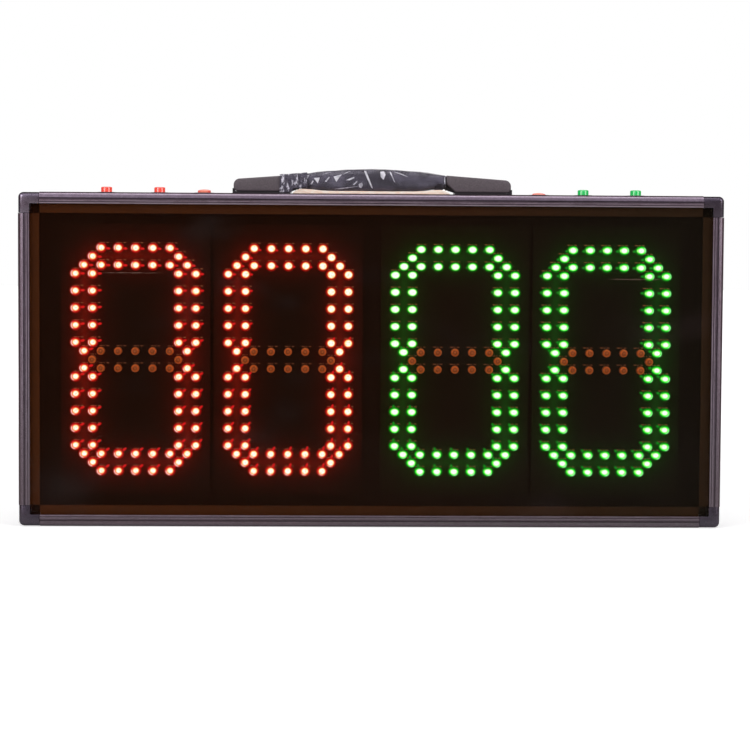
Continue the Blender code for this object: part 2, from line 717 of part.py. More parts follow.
def make_push_buttons():
    """Push buttons at the top of their travel, each cap's skirt caught under its bezel."""
    bezel = CAP_RADIUS + SEAT_GAP
    bore = skirt_radius + SEAT_GAP
    flange = barrel_radius + FLANGE_REACH
    flange_top = SEAT_GAP + FLANGE_THICK
    floor = -CAP_SINK - CAP_TRAVEL - SEAT_GAP
    tail = -BARREL_LENGTH - BUTTON_TAIL_LENGTH
    stop = SEAT_GAP - CAP_SKIRT_DROP
    body = [(0.0, floor), (bore, floor), (bore, stop), (bezel, stop), (bezel, flange_top)]
    body += [(flange - FLANGE_THICK, flange_top), (flange, SEAT_GAP), (barrel_radius, SEAT_GAP)]
    body += [(barrel_radius, -BARREL_LENGTH), (BUTTON_TAIL_RADIUS, -BARREL_LENGTH)]
    body += [(BUTTON_TAIL_RADIUS, tail), (0.0, tail)]
    cap = [(0.0, CAP_RISE), (CAP_RADIUS - CAP_EDGE, CAP_RISE), (CAP_RADIUS, CAP_RISE - CAP_EDGE)]
    cap += [(CAP_RADIUS, -CAP_SKIRT_DROP), (skirt_radius, -CAP_SKIRT_DROP), (skirt_radius, -CAP_SINK)]
    cap += [(0.0, -CAP_SINK)]
    body_mesh = turned(body, ROUND_STEPS)
    nut = nut_mesh(BUTTON_NUT_FLATS, barrel_radius + SEAT_GAP, BUTTON_NUT_THICK)
    for name, x in button_places.items():
        at = (x, CONTROL_Y, BOARD_HEIGHT)
        shade(place(f"button_{name}_body", body_mesh, black_plastic, at))
        place(f"button_{name}_nut", nut, steel, (x, CONTROL_Y, BOARD_HEIGHT - BAR_WALL - SEAT_GAP))
        colour = cap_red if x < 0 else cap_green
        shade(place(f"button_{name}_cap", turned(cap, ROUND_STEPS), colour, at))


def rocker_mesh(end_rise):
    """A round rocker about its pivot: two raised ends, a dip between them and a trunnion each side."""
    reach = ROCKER_RADIUS + TRUNNION_REACH
    outline = [(-reach, end_rise), (-reach, 0.0), (-ROCKER_SKIRT_HALF, -ROCKER_SKIRT)]
    outline += [(ROCKER_SKIRT_HALF, -ROCKER_SKIRT), (reach, 0.0), (reach, end_rise)]
    outline += [(0.0, end_rise - ROCKER_DIP)]
    seesaw = moved(side_prism(outline, 2 * reach), turn=math.pi / 2, axis="Z")
    drum = plug(ROCKER_RADIUS, 2 * end_rise, -2 * ROCKER_SKIRT, ROUND_STEPS)
    half = rocker_bore + TRUNNION_REACH
    trunnion = moved(plug(TRUNNION_RADIUS, half, -half, SMALL_STEPS), turn=math.pi / 2, axis="Y")
    return combined(combined(drum, [seesaw], "INTERSECT"), [trunnion], "UNION")


def make_rockers():
    """Round rockers, at rest with the front end pressed. They turn about X on their own origin."""
    flange = housing_radius + FLANGE_REACH
    flange_top = SEAT_GAP + FLANGE_THICK
    floor = HOUSING_FLOOR - HOUSING_DEPTH
    profile = [(0.0, floor), (rocker_bore, floor), (rocker_bore, flange_top)]
    profile += [(flange - FLANGE_THICK, flange_top), (flange, SEAT_GAP), (housing_radius, SEAT_GAP)]
    profile += [(housing_radius, -HOUSING_DEPTH), (0.0, -HOUSING_DEPTH)]
    over = housing_radius + HOUSING_WALL
    pocket = plug(TRUNNION_RADIUS + SEAT_GAP, over, -over, SMALL_STEPS)
    pocket = moved(pocket, (0.0, 0.0, -ROCKER_PIVOT_DROP), math.pi / 2, "Y")
    housing = combined(turned(profile, ROUND_STEPS), [pocket])
    for name, x in rocker_places.items():
        shade(place(f"rocker_{name}_housing", housing, black_plastic, (x, CONTROL_Y, BOARD_HEIGHT)))
        at = (x, CONTROL_Y, BOARD_HEIGHT - ROCKER_PIVOT_DROP)
        rocker = rocker_mesh(ROCKER_END_RISES[name])
        shade(place(f"rocker_{name}", rocker, cap_red, at, (ROCKER_THROW, 0.0, 0.0)))


def grip_top(x):
    """Height of the grip's back, an arch that meets the caps."""
    return GRIP_TOP - GRIP_ARCH_RADIUS + math.sqrt(GRIP_ARCH_RADIUS**2 - x**2)


def grip_bottom(x):
    """Height of the grip's underside, flat in the middle and raised towards its ends."""
    share = (abs(x) - under_start) / GRIP_UNDER_RUN
    share = min(max(share, 0.0), 1.0)
    return GRIP_BOTTOM + GRIP_UNDER_RISE * share * share * (3 - 2 * share)


def grip_half_width(x):
    share = (x / GRIP_HALF_LENGTH) ** 2
    return GRIP_HALF_WIDTH + share * (GRIP_END_HALF_WIDTH - GRIP_HALF_WIDTH)


def grip_section(x, grow, slant=0.0):
    """Points round the grip at x, out by grow from its surface, shifted along X by slant times the height."""
    low = grip_bottom(x) - grow
    high = grip_top(x) + grow
    wide = grip_half_width(x) + grow
    middle, tall = (low + high) / 2, (high - low) / 2
    points = []
    for i in range(GRIP_POINTS):
        angle = 2 * math.pi * (i + 0.5) / GRIP_POINTS
        c, s = math.cos(angle), math.sin(angle)
        y = wide * math.copysign(abs(c) ** (2 / GRIP_SQUARENESS), c)
        z = middle + tall * math.copysign(abs(s) ** (2 / GRIP_SQUARENESS), s)
        points.append((x + slant * (z - low), y, z))
    return points


def loft(rings, closed_ends=True):
    """A skin over rings of equal count. Without end faces the first and last rings are joined instead."""
    shape = bmesh.new()
    loops = [[shape.verts.new(point) for point in ring] for ring in rings]
    pairs = list(zip(loops, loops[1:]))
    if not closed_ends:
        pairs.append((loops[-1], loops[0]))
    for a, b in pairs:
        for i in range(len(a)):
            j = (i + 1) % len(a)
            shape.faces.new((a[i], a[j], b[j], b[i]))
    if closed_ends:
        shape.faces.new(loops[0])
        shape.faces.new(loops[-1])
    bmesh.ops.triangulate(shape, faces=shape.faces)
    bmesh.ops.recalc_face_normals(shape, faces=shape.faces)
    mesh = bpy.data.meshes.new("loft")
    shape.to_mesh(mesh)
    shape.free()
    return mesh


def evenly(start, end, steps):
    return [start + (end - start) * i / steps for i in range(steps + 1)]


def make_grip():
    """The moulded grip, forked from below at both ends for the links, and the clear film round it."""
    ramp = [-x for x in evenly(under_end, under_start, 2)]
    inner_stations = [*ramp[1:], 0.0, *[-x for x in reversed(ramp[1:])]]
    stations = [-GRIP_HALF_LENGTH, ramp[0], *inner_stations, -ramp[0], GRIP_HALF_LENGTH]
    body = loft([grip_section(x, 0.0) for x in stations])
    fork_half = LINK_WIDTH / 2 + SEAT_GAP
    inner = GRIP_HALF_LENGTH - FORK_DEPTH
    roof = LINK_PIVOT_Z + LINK_KNUCKLE + FORK_ROOF
    over = GRIP_TOP
    facet_outer = GRIP_HALF_LENGTH + GRIP_FACET_RUN
    facet = [(GRIP_HALF_LENGTH - GRIP_FACET_RUN, GRIP_FACET_TOP), (facet_outer, GRIP_FACET_TOP)]
    facet += [(facet_outer, GRIP_FACET_TOP - 2 * GRIP_FACET_RUN)]
    cuts = []
    for side in (-1, 1):
        near, far = sorted((side * inner, side * (GRIP_HALF_LENGTH + FORK_DEPTH)))
        cuts.append(box((near, -fork_half, -over), (far, fork_half, roof)))
        hole = plug(PIN_RADIUS + SEAT_GAP, over, -over, SMALL_STEPS)
        cuts.append(moved(hole, (side * link_pivot_x, 0.0, LINK_PIVOT_Z), math.pi / 2))
        for flank in (-1, 1):
            outline = [(side * x, z) for x, z in facet]
            wedge = side_prism(outline, 2 * GRIP_FACET_DEPTH)
            cuts.append(moved(wedge, (0.0, flank * GRIP_END_HALF_WIDTH, 0.0)))
    at = (0.0, 0.0, BOARD_HEIGHT)
    shade(place("handle_grip", combined(body, cuts), grip_grey, at), 50)

    inside, outside = [], []
    for x in [-film_half_length, *inner_stations, film_half_length]:
        slant = math.copysign(FILM_SLANT, x) if abs(x) == film_half_length else 0.0
        inside.append(grip_section(x, FILM_CLEARANCE, slant))
        outside.insert(0, grip_section(x, FILM_CLEARANCE + FILM_THICK, slant))
    shade(place("handle_film", loft(inside + outside, closed_ends=False), clear_film, at), 50)


def link_outline():
    """Side of the right link about its pivot: a knuckle, a sloping neck ribbed below, and a flat tail."""
    bottom = link_bottom - LINK_PIVOT_Z
    top = bottom + LINK_THICK
    neck_end = cap_inner + LINK_NECK_IN_CAP - link_pivot_x
    end = post_x + LINK_PAST_POST - link_pivot_x
    outline = [(end, top), (neck_end, top)]
    outline += arc((0.0, 0.0), LINK_KNUCKLE, 60, 300, 2 * ARC_STEPS)
    pitch = (neck_end - LINK_KNUCKLE) / LINK_RIB_COUNT
    for i in range(LINK_RIB_COUNT):
        x = LINK_KNUCKLE + i * pitch
        z = -LINK_KNUCKLE - i * pitch * LINK_RIB_SLOPE
        rib_start = x + pitch * LINK_RIB_SHARE
        rib_foot = z - LINK_RIB_DROP
        outline += [(x, z), (rib_start, rib_foot), (rib_start + pitch * LINK_RIB_SHARE, rib_foot)]
    outline += [(neck_end, bottom), (end, bottom)]
    return outline


def link_mesh():
    body = side_prism(link_outline(), LINK_WIDTH)
    half = POST_RADIUS + 2 * SEAT_GAP
    near = post_x - link_pivot_x - half
    over = LINK_PIVOT_Z
    slot = box((near, -half, -over), (near + 2 * half + LINK_SLIDE, half, over))
    pin_hole = plug(PIN_RADIUS + SEAT_GAP, LINK_WIDTH, -LINK_WIDTH, SMALL_STEPS)
    return combined(body, [slot, moved(pin_hole, turn=math.pi / 2)])


def cap_top(x):
    share = (x - cap_inner) / (cap_outer - cap_inner)
    return CAP_INNER_TOP + share * (CAP_OUTER_TOP - CAP_INNER_TOP)


def cap_mesh():
    """The right end cap, heights above the top face: a shell open below and towards the grip."""
    bend = cap_outer - CAP_TOP_RADIUS
    drop = cap_top(bend) - CAP_TOP_RADIUS
    outline = [(cap_inner, CAP_INNER_TOP), (cap_inner, CAP_MOUTH_LIP), (cap_mouth_foot, cap_foot)]
    foot = (cap_outer - CAP_FOOT_RADIUS, cap_foot + CAP_FOOT_RADIUS)
    outline += arc(foot, CAP_FOOT_RADIUS, 270, 360, 2)
    outline += arc((bend, drop), CAP_TOP_RADIUS, 0, 90)
    shell = chamfered(side_prism(outline, 2 * CAP_HALF_WIDTH), CAP_ROUND, least_angle=60)
    inner_radius = CAP_TOP_RADIUS - CAP_WALL
    over = CAP_WALL
    hollow = [(cap_inner - over, CAP_INNER_TOP - CAP_WALL), (cap_inner - over, cap_foot - over)]
    hollow += [(foot[0], cap_foot - over)]
    hollow += arc(foot, CAP_FOOT_RADIUS - CAP_WALL, 270, 360, 2)
    hollow += arc((bend, drop), inner_radius, 0, 90)
    cavity = side_prism(hollow, 2 * (CAP_HALF_WIDTH - CAP_WALL))
    notch_half = LINK_WIDTH / 2 + CAP_NOTCH_SIDE
    lowest, highest = CAP_OUTER_TOP - 2 * CAP_WALL, CAP_INNER_TOP + CAP_WALL
    notch_end = cap_inner + CAP_NOTCH_LENGTH
    mouth = box((cap_inner - over, -notch_half, lowest), (notch_end, notch_half, highest))
    return combined(shell, [cavity, mouth])


def base_mesh():
    """The right base: a plate turned up under the cap's foot, rails for the cap, the link's post and a peg."""
    foot = (cap_outer - CAP_FOOT_RADIUS, cap_foot + CAP_FOOT_RADIUS)
    upturn = arc(foot, CAP_FOOT_RADIUS + SEAT_GAP, 270, 270 + BASE_UPTURN)
    outline = [(base_inner, base_top), (base_inner, SEAT_GAP), (cap_outer + BASE_FLARE, SEAT_GAP)]
    outline += [(cap_outer + BASE_FLARE, upturn[-1][1]), *reversed(upturn)]
    plate = side_prism(outline, 2 * CAP_HALF_WIDTH)
    root = base_top - BASE_THICK / 2
    rail_outer = CAP_HALF_WIDTH - CAP_WALL - SEAT_GAP
    rail_inner = rail_outer - RAIL_THICK
    start = base_inner + RAIL_END_GAP
    end = cap_outer - CAP_WALL - RAIL_END_GAP
    extras = []
    for side in (-1, 1):
        near, far = sorted((side * rail_inner, side * rail_outer))
        extras.append(box((start, near, root), (end, far, base_top + RAIL_HEIGHT)))
    post = plug(POST_RADIUS, POST_TOP, root, ROUND_STEPS)
    peg = plug(PEG_RADIUS, root, -PEG_LENGTH, SMALL_STEPS)
    extras += [moved(post, (post_x, 0.0, 0.0)), moved(peg, (peg_x, 0.0, 0.0))]
    body = combined(plate, extras, "UNION")
    cutter = plug(HANDLE_SCREW_RADIUS + SEAT_GAP, POST_TOP + BASE_THICK, -BASE_THICK, SMALL_STEPS)
    return combined(body, [moved(cutter, (post_x, 0.0, 0.0))])


def backing_mesh():
    """The right backing plate under the top bar's wall, threaded for the post screw and bored for the peg."""
    low = backing_top - BACKING_THICK
    start, end = post_x - BACKING_MARGIN, peg_x + BACKING_MARGIN
    plate = box((start, -BACKING_HALF_WIDTH, low), (end, BACKING_HALF_WIDTH, backing_top))
    cuts = []
    for x, radius in ((post_x, HANDLE_SCREW_RADIUS), (peg_x, PEG_RADIUS)):
        cutter = plug(radius + SEAT_GAP, backing_top + BACKING_THICK, low - BACKING_THICK, SMALL_STEPS)
        cuts.append(moved(cutter, (x, 0.0, 0.0)))
    return combined(plate, cuts)


def make_handle_ends():
    """Right and left hand sets of links, pins, caps, bases, screws and backing plates."""
    pin = plug(PIN_RADIUS, PIN_LENGTH / 2, -PIN_LENGTH / 2, SMALL_STEPS)
    head_low = POST_TOP + SEAT_GAP
    head_top = head_low + HANDLE_SCREW_HEAD_HEIGHT
    tip = head_low - HANDLE_SCREW_LENGTH
    screw = [(0.0, head_top), (HANDLE_SCREW_HEAD, head_top), (HANDLE_SCREW_HEAD, head_low)]
    screw += [(HANDLE_SCREW_RADIUS, head_low), (HANDLE_SCREW_RADIUS, tip), (0.0, tip)]
    screw_mesh = turned(screw, SMALL_STEPS)
    link, cap, base, backing = link_mesh(), cap_mesh(), base_mesh(), backing_mesh()
    top = BOARD_HEIGHT
    for name, side, turn in (("right", 1, 0.0), ("left", -1, math.pi)):
        facing = (0.0, 0.0, turn)
        pivot = (side * link_pivot_x, 0.0, top + LINK_PIVOT_Z)
        place(f"handle_link_{name}", link, black_plastic, pivot, facing)
        shade(place(f"handle_pin_{name}", pin, steel, pivot, (math.pi / 2, 0.0, 0.0)))
        shade(place(f"handle_cap_{name}", cap, cap_grey, (0.0, 0.0, top), facing))
        place(f"handle_base_{name}", base, black_plastic, (0.0, 0.0, top), facing)
        shade(place(f"handle_screw_{name}", screw_mesh, steel, (side * post_x, 0.0, top)))
        place(f"handle_backing_{name}", backing, steel, (0.0, 0.0, top), facing)


clear_scene()
parts = new_collection("substitution_board")
cutters = new_collection("cutters")

anodised = new_surface("anodised charcoal", (0.055, 0.047, 0.052), 0.38, 0.85)
moulded = new_surface("moulded charcoal", (0.050, 0.045, 0.052), 0.42)
smoked = new_surface("smoked acrylic", (0.060, 0.035, 0.020), 0.06, 0.0, 0.45)
painted = new_surface("black paint", (0.012, 0.012, 0.012), 0.55)
board_black = new_surface("black circuit board", (0.010, 0.009, 0.009), 0.40)
board_green = new_surface("green circuit board", (0.010, 0.090, 0.030), 0.40)
wrap_blue = new_surface("blue cell wrap", (0.020, 0.080, 0.350), 0.35)
steel = new_surface("zinc plated steel", (0.550, 0.560, 0.580), 0.35, 1.0)
black_plastic = new_surface("black plastic", (0.012, 0.012, 0.013), 0.45)
cap_red = new_surface("red plastic", (0.900, 0.030, 0.020), 0.25)
cap_green = new_surface("green plastic", (0.010, 0.700, 0.150), 0.25)
cap_grey = new_surface("grained grey plastic", (0.075, 0.060, 0.066), 0.60)
grip_grey = new_surface("soft grip plastic", (0.040, 0.038, 0.045), 0.50)
clear_film = new_surface("clear film", (0.850, 0.850, 0.900), 0.10, 0.0, 0.30)

make_frame()
make_corners()
make_sheets()
make_display()
make_control_board()
make_battery()
make_charge_socket()
make_push_buttons()
make_rockers()
make_grip()
make_handle_ends()
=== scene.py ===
import math

import bmesh
import bpy
from mathutils import Matrix, Vector


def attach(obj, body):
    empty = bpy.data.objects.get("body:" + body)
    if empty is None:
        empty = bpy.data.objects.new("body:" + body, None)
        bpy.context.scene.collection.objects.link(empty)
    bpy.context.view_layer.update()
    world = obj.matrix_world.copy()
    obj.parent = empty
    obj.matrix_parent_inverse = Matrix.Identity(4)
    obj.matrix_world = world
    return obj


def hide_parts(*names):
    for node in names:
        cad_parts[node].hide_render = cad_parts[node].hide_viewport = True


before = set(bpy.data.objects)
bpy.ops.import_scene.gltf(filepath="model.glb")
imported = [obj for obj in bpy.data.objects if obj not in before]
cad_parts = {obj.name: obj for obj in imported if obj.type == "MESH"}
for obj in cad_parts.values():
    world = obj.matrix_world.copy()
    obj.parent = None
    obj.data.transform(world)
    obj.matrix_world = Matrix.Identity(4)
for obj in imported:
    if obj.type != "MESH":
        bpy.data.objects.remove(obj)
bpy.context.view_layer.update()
print("frame loaded")

mm = 0.001
top = 322 * mm  # the case's top face
middle = 161 * mm  # half way up the case
weldGap = 0.002 * mm
hair = 0.01 * mm
quarter = math.pi / 2


def inMm(value):  # millimetres to metres, all through a dictionary, list or tuple
    if isinstance(value, dict):
        return {key: inMm(item) for key, item in value.items()}
    if isinstance(value, (list, tuple)):
        return type(value)(inMm(item) for item in value)
    return value * mm


# Working habits: select nothing, take up one piece, work in edit mode, finish it

def closeUp():
    bpy.ops.object.mode_set(mode="OBJECT")


def dropAll():
    if bpy.context.mode != "OBJECT":
        closeUp()
    bpy.ops.object.select_all(action="DESELECT")


def takeUp(obj):
    dropAll()
    obj.select_set(True)
    bpy.context.view_layer.objects.active = obj
    return obj


def openUp(obj, kind="FACE"):
    takeUp(obj)
    bpy.ops.object.mode_set(mode="EDIT")
    bpy.ops.mesh.select_mode(type=kind)


def settle(obj):
    takeUp(obj)
    bpy.ops.object.transform_apply(location=True, rotation=True, scale=True)
    return obj


def put(obj, place, turn=(0, 0, 0)):
    obj.location = place
    obj.rotation_euler = turn
    return settle(obj)


def grabAll():
    bpy.ops.mesh.select_all(action="SELECT")


def grab(obj, kind, test):
    bpy.ops.mesh.select_mode(type=kind)
    bpy.ops.mesh.select_all(action="DESELECT")
    shape = bmesh.from_edit_mesh(obj.data)
    if kind == "FACE":
        for face in shape.faces:
            face.select_set(test(face.calc_center_median(), face.normal))
    else:
        for edge in shape.edges:
            a, b = edge.verts[0].co, edge.verts[1].co
            edge.select_set(test((a + b) / 2, (b - a).normalized()))
    shape.select_flush_mode()
    bmesh.update_edit_mesh(obj.data)


def pull(*step):
    bpy.ops.mesh.extrude_region_move(TRANSFORM_OT_translate={"value": step})


def resize(scale, centre):
    bpy.ops.transform.resize(value=scale, center_override=centre)


def faceOut():
    grabAll()
    bpy.ops.mesh.normals_make_consistent(inside=False)
    closeUp()


def weldUp():
    grabAll()
    bpy.ops.mesh.remove_doubles(threshold=weldGap)
    faceOut()


def makeTriangles(method):
    grabAll()
    bpy.ops.mesh.quads_convert_to_tris(quad_method=method, ngon_method="BEAUTY")


def cutUp(cuts):
    grabAll()
    bpy.ops.mesh.subdivide(number_cuts=cuts)


def bevelEdges(obj, test, width, segments):
    openUp(obj, "EDGE")
    grab(obj, "EDGE", test)
    bpy.ops.mesh.bevel(offset=width, segments=segments)
    closeUp()


def addShape(operator, name, **settings):
    dropAll()
    operator(**settings)
    obj = bpy.context.object
    obj.name = name
    return settle(obj)


def block(name, low, high):
    size = [b - a for a, b in zip(low, high)]
    centre = [(a + b) / 2 for a, b in zip(low, high)]
    return addShape(bpy.ops.mesh.primitive_cube_add, name, size=1, location=centre, scale=size)


def drum(name, radius, low, high, corners=32, centre=(0, 0)):
    return addShape(bpy.ops.mesh.primitive_cylinder_add, name, vertices=corners, radius=radius,
                    depth=high - low, location=(*centre, (low + high) / 2))


def drawLine(name, points, closed):
    obj = addShape(bpy.ops.mesh.primitive_plane_add, name, size=mm, location=points[0])
    openUp(obj, "VERT")
    grabAll()
    bpy.ops.mesh.merge(type="CENTER")
    line = [Vector(p) for p in points]
    if closed:
        line.append(line[0])
    for a, b in zip(line, line[1:]):
        pull(*(b - a))
    if closed:
        grabAll()
        bpy.ops.mesh.remove_doubles(threshold=weldGap)
        grabAll()
        bpy.ops.mesh.edge_face_add()
    return obj


def slab(name, points, *step):
    obj = drawLine(name, points, True)
    pull(*step)
    weldUp()
    return obj


def turned(name, profile, centre=(0, 0, 0), steps=40):  # profile: radius and height of each point
    x, y, z = centre
    obj = drawLine(name, [(x + radius, y, z + height) for radius, height in profile], False)
    grabAll()
    bpy.ops.mesh.spin(steps=steps, angle=2 * math.pi, center=centre, axis=(0, 0, 1))
    weldUp()
    return obj


def loft(name, sections, bevel, segments):  # sections: x, middle height, half width and half height
    x, z, wide, tall = sections[0]
    last = sections[1][0]
    obj = block(name, (x, -wide, z - tall), (last, wide, z + tall))
    bevelEdges(obj, lambda c, d: abs(d.x) > 0.9, bevel, segments)
    openUp(obj)
    for x, nextZ, nextWide, nextTall in sections[1:]:
        grab(obj, "FACE", lambda c, n: n.x > 0.99 and abs(c.x - last) < hair)
        if x > last:
            pull(x - last, 0, 0)
        resize((1, nextWide / wide, nextTall / tall), (x, 0, z))
        bpy.ops.transform.translate(value=(0, 0, nextZ - z))
        last, z, wide, tall = x, nextZ, nextWide, nextTall
    closeUp()
    return obj


def run(obj, kind, **settings):
    takeUp(obj)
    step = obj.modifiers.new("step", kind)
    for key, value in settings.items():
        setattr(step, key, value)
    bpy.ops.object.modifier_apply(modifier=step.name)
    return obj


def cut(obj, *tools, operation="DIFFERENCE"):
    for tool in tools:
        run(obj, "BOOLEAN", operation=operation, object=tool, solver="EXACT")
        bpy.data.objects.remove(tool)
    return obj


def soften(obj, width, segments=2, degrees=30):
    return run(obj, "BEVEL", width=width, segments=segments, limit_method="ANGLE",
               angle_limit=math.radians(degrees), use_clamp_overlap=True)


def shadeBy(obj, degrees=35):
    takeUp(obj)
    bpy.ops.object.shade_smooth_by_angle(angle=math.radians(degrees))
    return obj


def stance(place, degrees=0, axis="Y"):
    return Matrix.Translation(place) @ Matrix.Rotation(math.radians(degrees), 4, axis)


def copyOf(obj, name, matrix):
    takeUp(obj)
    bpy.ops.object.duplicate()
    twin = bpy.context.object
    twin.name = name
    twin.matrix_world = matrix
    settle(twin)
    if matrix.determinant() < 0:
        openUp(twin)
        faceOut()
    return twin


def join(name, objs):
    dropAll()
    for obj in objs:
        obj.select_set(True)
    bpy.context.view_layer.objects.active = objs[0]
    bpy.ops.object.join()
    objs[0].name = name
    return objs[0]


def dress(obj, look):
    obj.data.materials.clear()
    obj.data.materials.append(look)


def fit(obj, body, slot, look, *nodes):
    settle(obj)
    if look and look.name not in obj.data.materials:
        dress(obj, look)
    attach(obj, body)
    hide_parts(*nodes)
    return obj


def fitPair(piece, name, body, slot, look, node):  # the left one is the right one turned half round
    left = copyOf(piece, name + "Left", stance((0, 0, 0), 180, "Z"))
    piece.name = name + "Right"
    for obj, side in ((piece, "right"), (left, "left")):
        fit(shadeBy(obj), body.format(side), slot, look, node.format(side))


def pick(table, names):
    return [table[name] for name in names.split()]


def sideOn(points, y):  # points of x and height above the case, all at one depth
    return [(x, y, top + z) for x, z in points]


def arc(centre, radius, start, end, steps=6):
    angles = [math.radians(start + (end - start) * i / steps) for i in range(steps + 1)]
    return [(centre[0] + radius * math.cos(a), centre[1] + radius * math.sin(a)) for a in angles]


def thread(radius, start, pitch, turns, depth=0.35):  # all in mm
    points = []
    for i in range(turns):
        points += [(radius, start - i * pitch), (radius - depth, start - (i + 0.5) * pitch)]
    return points


# Looks: each stands on the easel while its nodes are joined up

easel = {}


def plug(target, value):
    if isinstance(value, bpy.types.NodeSocket):
        easel["tree"].links.new(value, target)
    elif isinstance(value, tuple) and target.type == "RGBA":
        target.default_value = (*value, 1)
    else:
        target.default_value = value


def feed(socket, value):
    plug(easel["tree"].nodes["Principled BSDF"].inputs[socket], value)


def newLook(name, colour, roughness, metallic=0.0, **sockets):
    look = bpy.data.materials.new(name)
    look.use_nodes = True
    easel["tree"] = look.node_tree
    feed("Base Color", colour)
    feed("Roughness", roughness)
    feed("Metallic", metallic)
    for key, value in sockets.items():
        feed(key.replace("_", " "), value)
    return look


def add(kind, settings=None, inputs=None):
    made = easel["tree"].nodes.new("ShaderNode" + kind)
    for key, value in (settings or {}).items():
        setattr(made, key, value)
    for key, value in (inputs or {}).items():
        plug(made.inputs[key], value)
    return made.outputs


def calc(operation, *values):
    return add("Math", {"operation": operation}, dict(enumerate(values)))[0]


def times(a, b):
    return calc("MULTIPLY", a, b)


def plus(a, b):
    return calc("ADD", a, b)


def minus(a, b):
    return calc("SUBTRACT", a, b)


def sizeOf(value):
    return calc("ABSOLUTE", value)


def apart(a, b):
    return sizeOf(minus(a, b))


def larger(a, b):
    return calc("MAXIMUM", a, b)


def smaller(a, b):
    return calc("MINIMUM", a, b)


def vectors(operation, a, b=(0, 0, 0)):
    made = add("VectorMath", {"operation": operation}, {0: a, 1: b})
    return made["Value" if operation in ("LENGTH", "DOT_PRODUCT") else "Vector"]


def scaled(vector, scale):
    return add("VectorMath", {"operation": "SCALE"}, {0: vector, "Scale": scale})["Vector"]


def ease(value, low, high, toLow=0.0, toHigh=1.0):
    inputs = {"Value": value, "From Min": low, "From Max": high, "To Min": toLow, "To Max": toHigh}
    return add("MapRange", {"interpolation_type": "SMOOTHSTEP"}, inputs)[0]


def blendOf(share, a, b):
    return add("Mix", {"data_type": "RGBA"}, {0: share, 6: a, 7: b})[2]


def layered(colour, *coats):  # each coat: where it shows, and its colour
    for share, tone in coats:
        colour = blendOf(share, colour, tone)
    return colour


def spot(stretch=(1, 1, 1), shift=(0, 0, 0)):
    return add("Mapping", None, {"Vector": add("TexCoord")["Object"], "Scale": stretch, "Location": shift})[0]


def axes(place=None):
    return add("SeparateXYZ", None, {0: place or spot()})


def notes(name):
    return add("Attribute", {"attribute_name": name})["Vector"]


def noise(scale, detail=3.0, rough=0.5, stretch=(1, 1, 1), place=None):
    inputs = {"Vector": place or spot(stretch), "Scale": scale, "Detail": detail, "Roughness": rough}
    return add("TexNoise", None, inputs)[0]


def cells(scale, kind="Voronoi"):
    return add("Tex" + kind, None, {"Vector": spot(), "Scale": scale})[0]


def paint(share, a, b):
    feed("Base Color", blendOf(share, a, b))


def glow(colour, strength=1.0):
    feed("Emission Color", colour)
    feed("Emission Strength", strength)


def varyGloss(value, low, high):  # roughness over the middle of a noise
    feed("Roughness", ease(value, 0.3, 0.7, low, high))


def roughen(height, distance, strength=1.0):
    feed("Normal", add("Bump", None, {"Height": height, "Distance": distance, "Strength": strength})[0])


def mottled(name, colour, roughness, grain, tones, span=None, gloss=None, bump=None, **sockets):
    # one noise, its scale, detail and roughness first, varies the colour, the gloss and the height
    look = newLook(name, colour, roughness, **sockets)
    patch = noise(*grain)
    paint(ease(patch, *span) if span else patch, *tones)
    if gloss:
        varyGloss(patch, *gloss)
    if bump:
        roughen(patch, *bump)
    return look


# Camera, at the photograph's place

view = {"place": (-0.0554, -2.1698, 0.2722), "turn": (86.681, -0.359, -1.544), "lens": 106.97, "sensor": 36}


def makeCamera():
    data = bpy.data.cameras.new("photoCamera")
    data.lens = view["lens"]
    data.sensor_width = view["sensor"]
    camera = bpy.data.objects.new("photoCamera", data)
    bpy.context.scene.collection.objects.link(camera)
    camera.location = view["place"]
    camera.rotation_euler = [math.radians(a) for a in view["turn"]]
    bpy.context.scene.camera = camera
    bpy.context.scene.view_settings.view_transform = "Standard"


makeCamera()
print("camera placed")


# Studio: white behind, dim towards the camera, two tall panels in front and one lamp above

studio = {
    "ambient": 0.34, "middle": (0.12, 0.10, 0.115),
    "walls": (  # direction, where it starts and where it is full, and its colour
        ("across", -0.04, -0.12, (0.30, 0.215, 0.235)),
        ("across", 0.05, 0.16, (0.17, 0.13, 0.15)),
        ("height", -0.05, -0.18, (0.34, 0.25, 0.25)),
    ),
    "upMiddle": (0.36, 0.33, 0.38), "upFront": (0.80, 0.72, 0.86), "side": (0.16, 0.060, 0.075),
    "above": (0.14, 0.085, 0.11), "aim": (0, 0, 180 * mm),
    "lamps": (  # name, power, place, width and height
        ("leftPanel", 18, (-1.60, -1.55, 1.15), 1.30, 1.6),
        ("rightPanel", 17, (1.75, -1.37, 1.11), 1.20, 1.6),
        ("overhead", 8, (0.0, -0.4, 2.1), 1.4, 1.0),
    ),
    "floorFront": -1.15, "floorBack": 12.0, "floorHalf": 9.0,
}


def makeSky():
    across, back, height = axes(add("TexCoord")["Generated"])
    colour = studio["middle"]
    for direction, start, full, tone in studio["walls"]:
        colour = blendOf(ease(across if direction == "across" else height, start, full), colour, tone)
    upFront = ease(height, 0.18, 0.40)
    leftFront = times(ease(height, 0.04, 0.15), ease(across, 0.0, -0.10))
    bright = blendOf(ease(sizeOf(across), 0.03, 0.13), studio["upMiddle"], studio["upFront"])
    sideways = minus(sizeOf(across), larger(height, 0.0))
    return layered(colour, (larger(upFront, leftFront), bright), (ease(sideways, 0.40, 0.65), studio["side"]),
                   (ease(back, -0.10, 0.30), studio["above"]), (ease(back, 0.85, 0.97), (1.0, 1.0, 1.0)))


def background(colour, strength=1.0):
    return add("Background", None, {"Color": colour, "Strength": strength})[0]


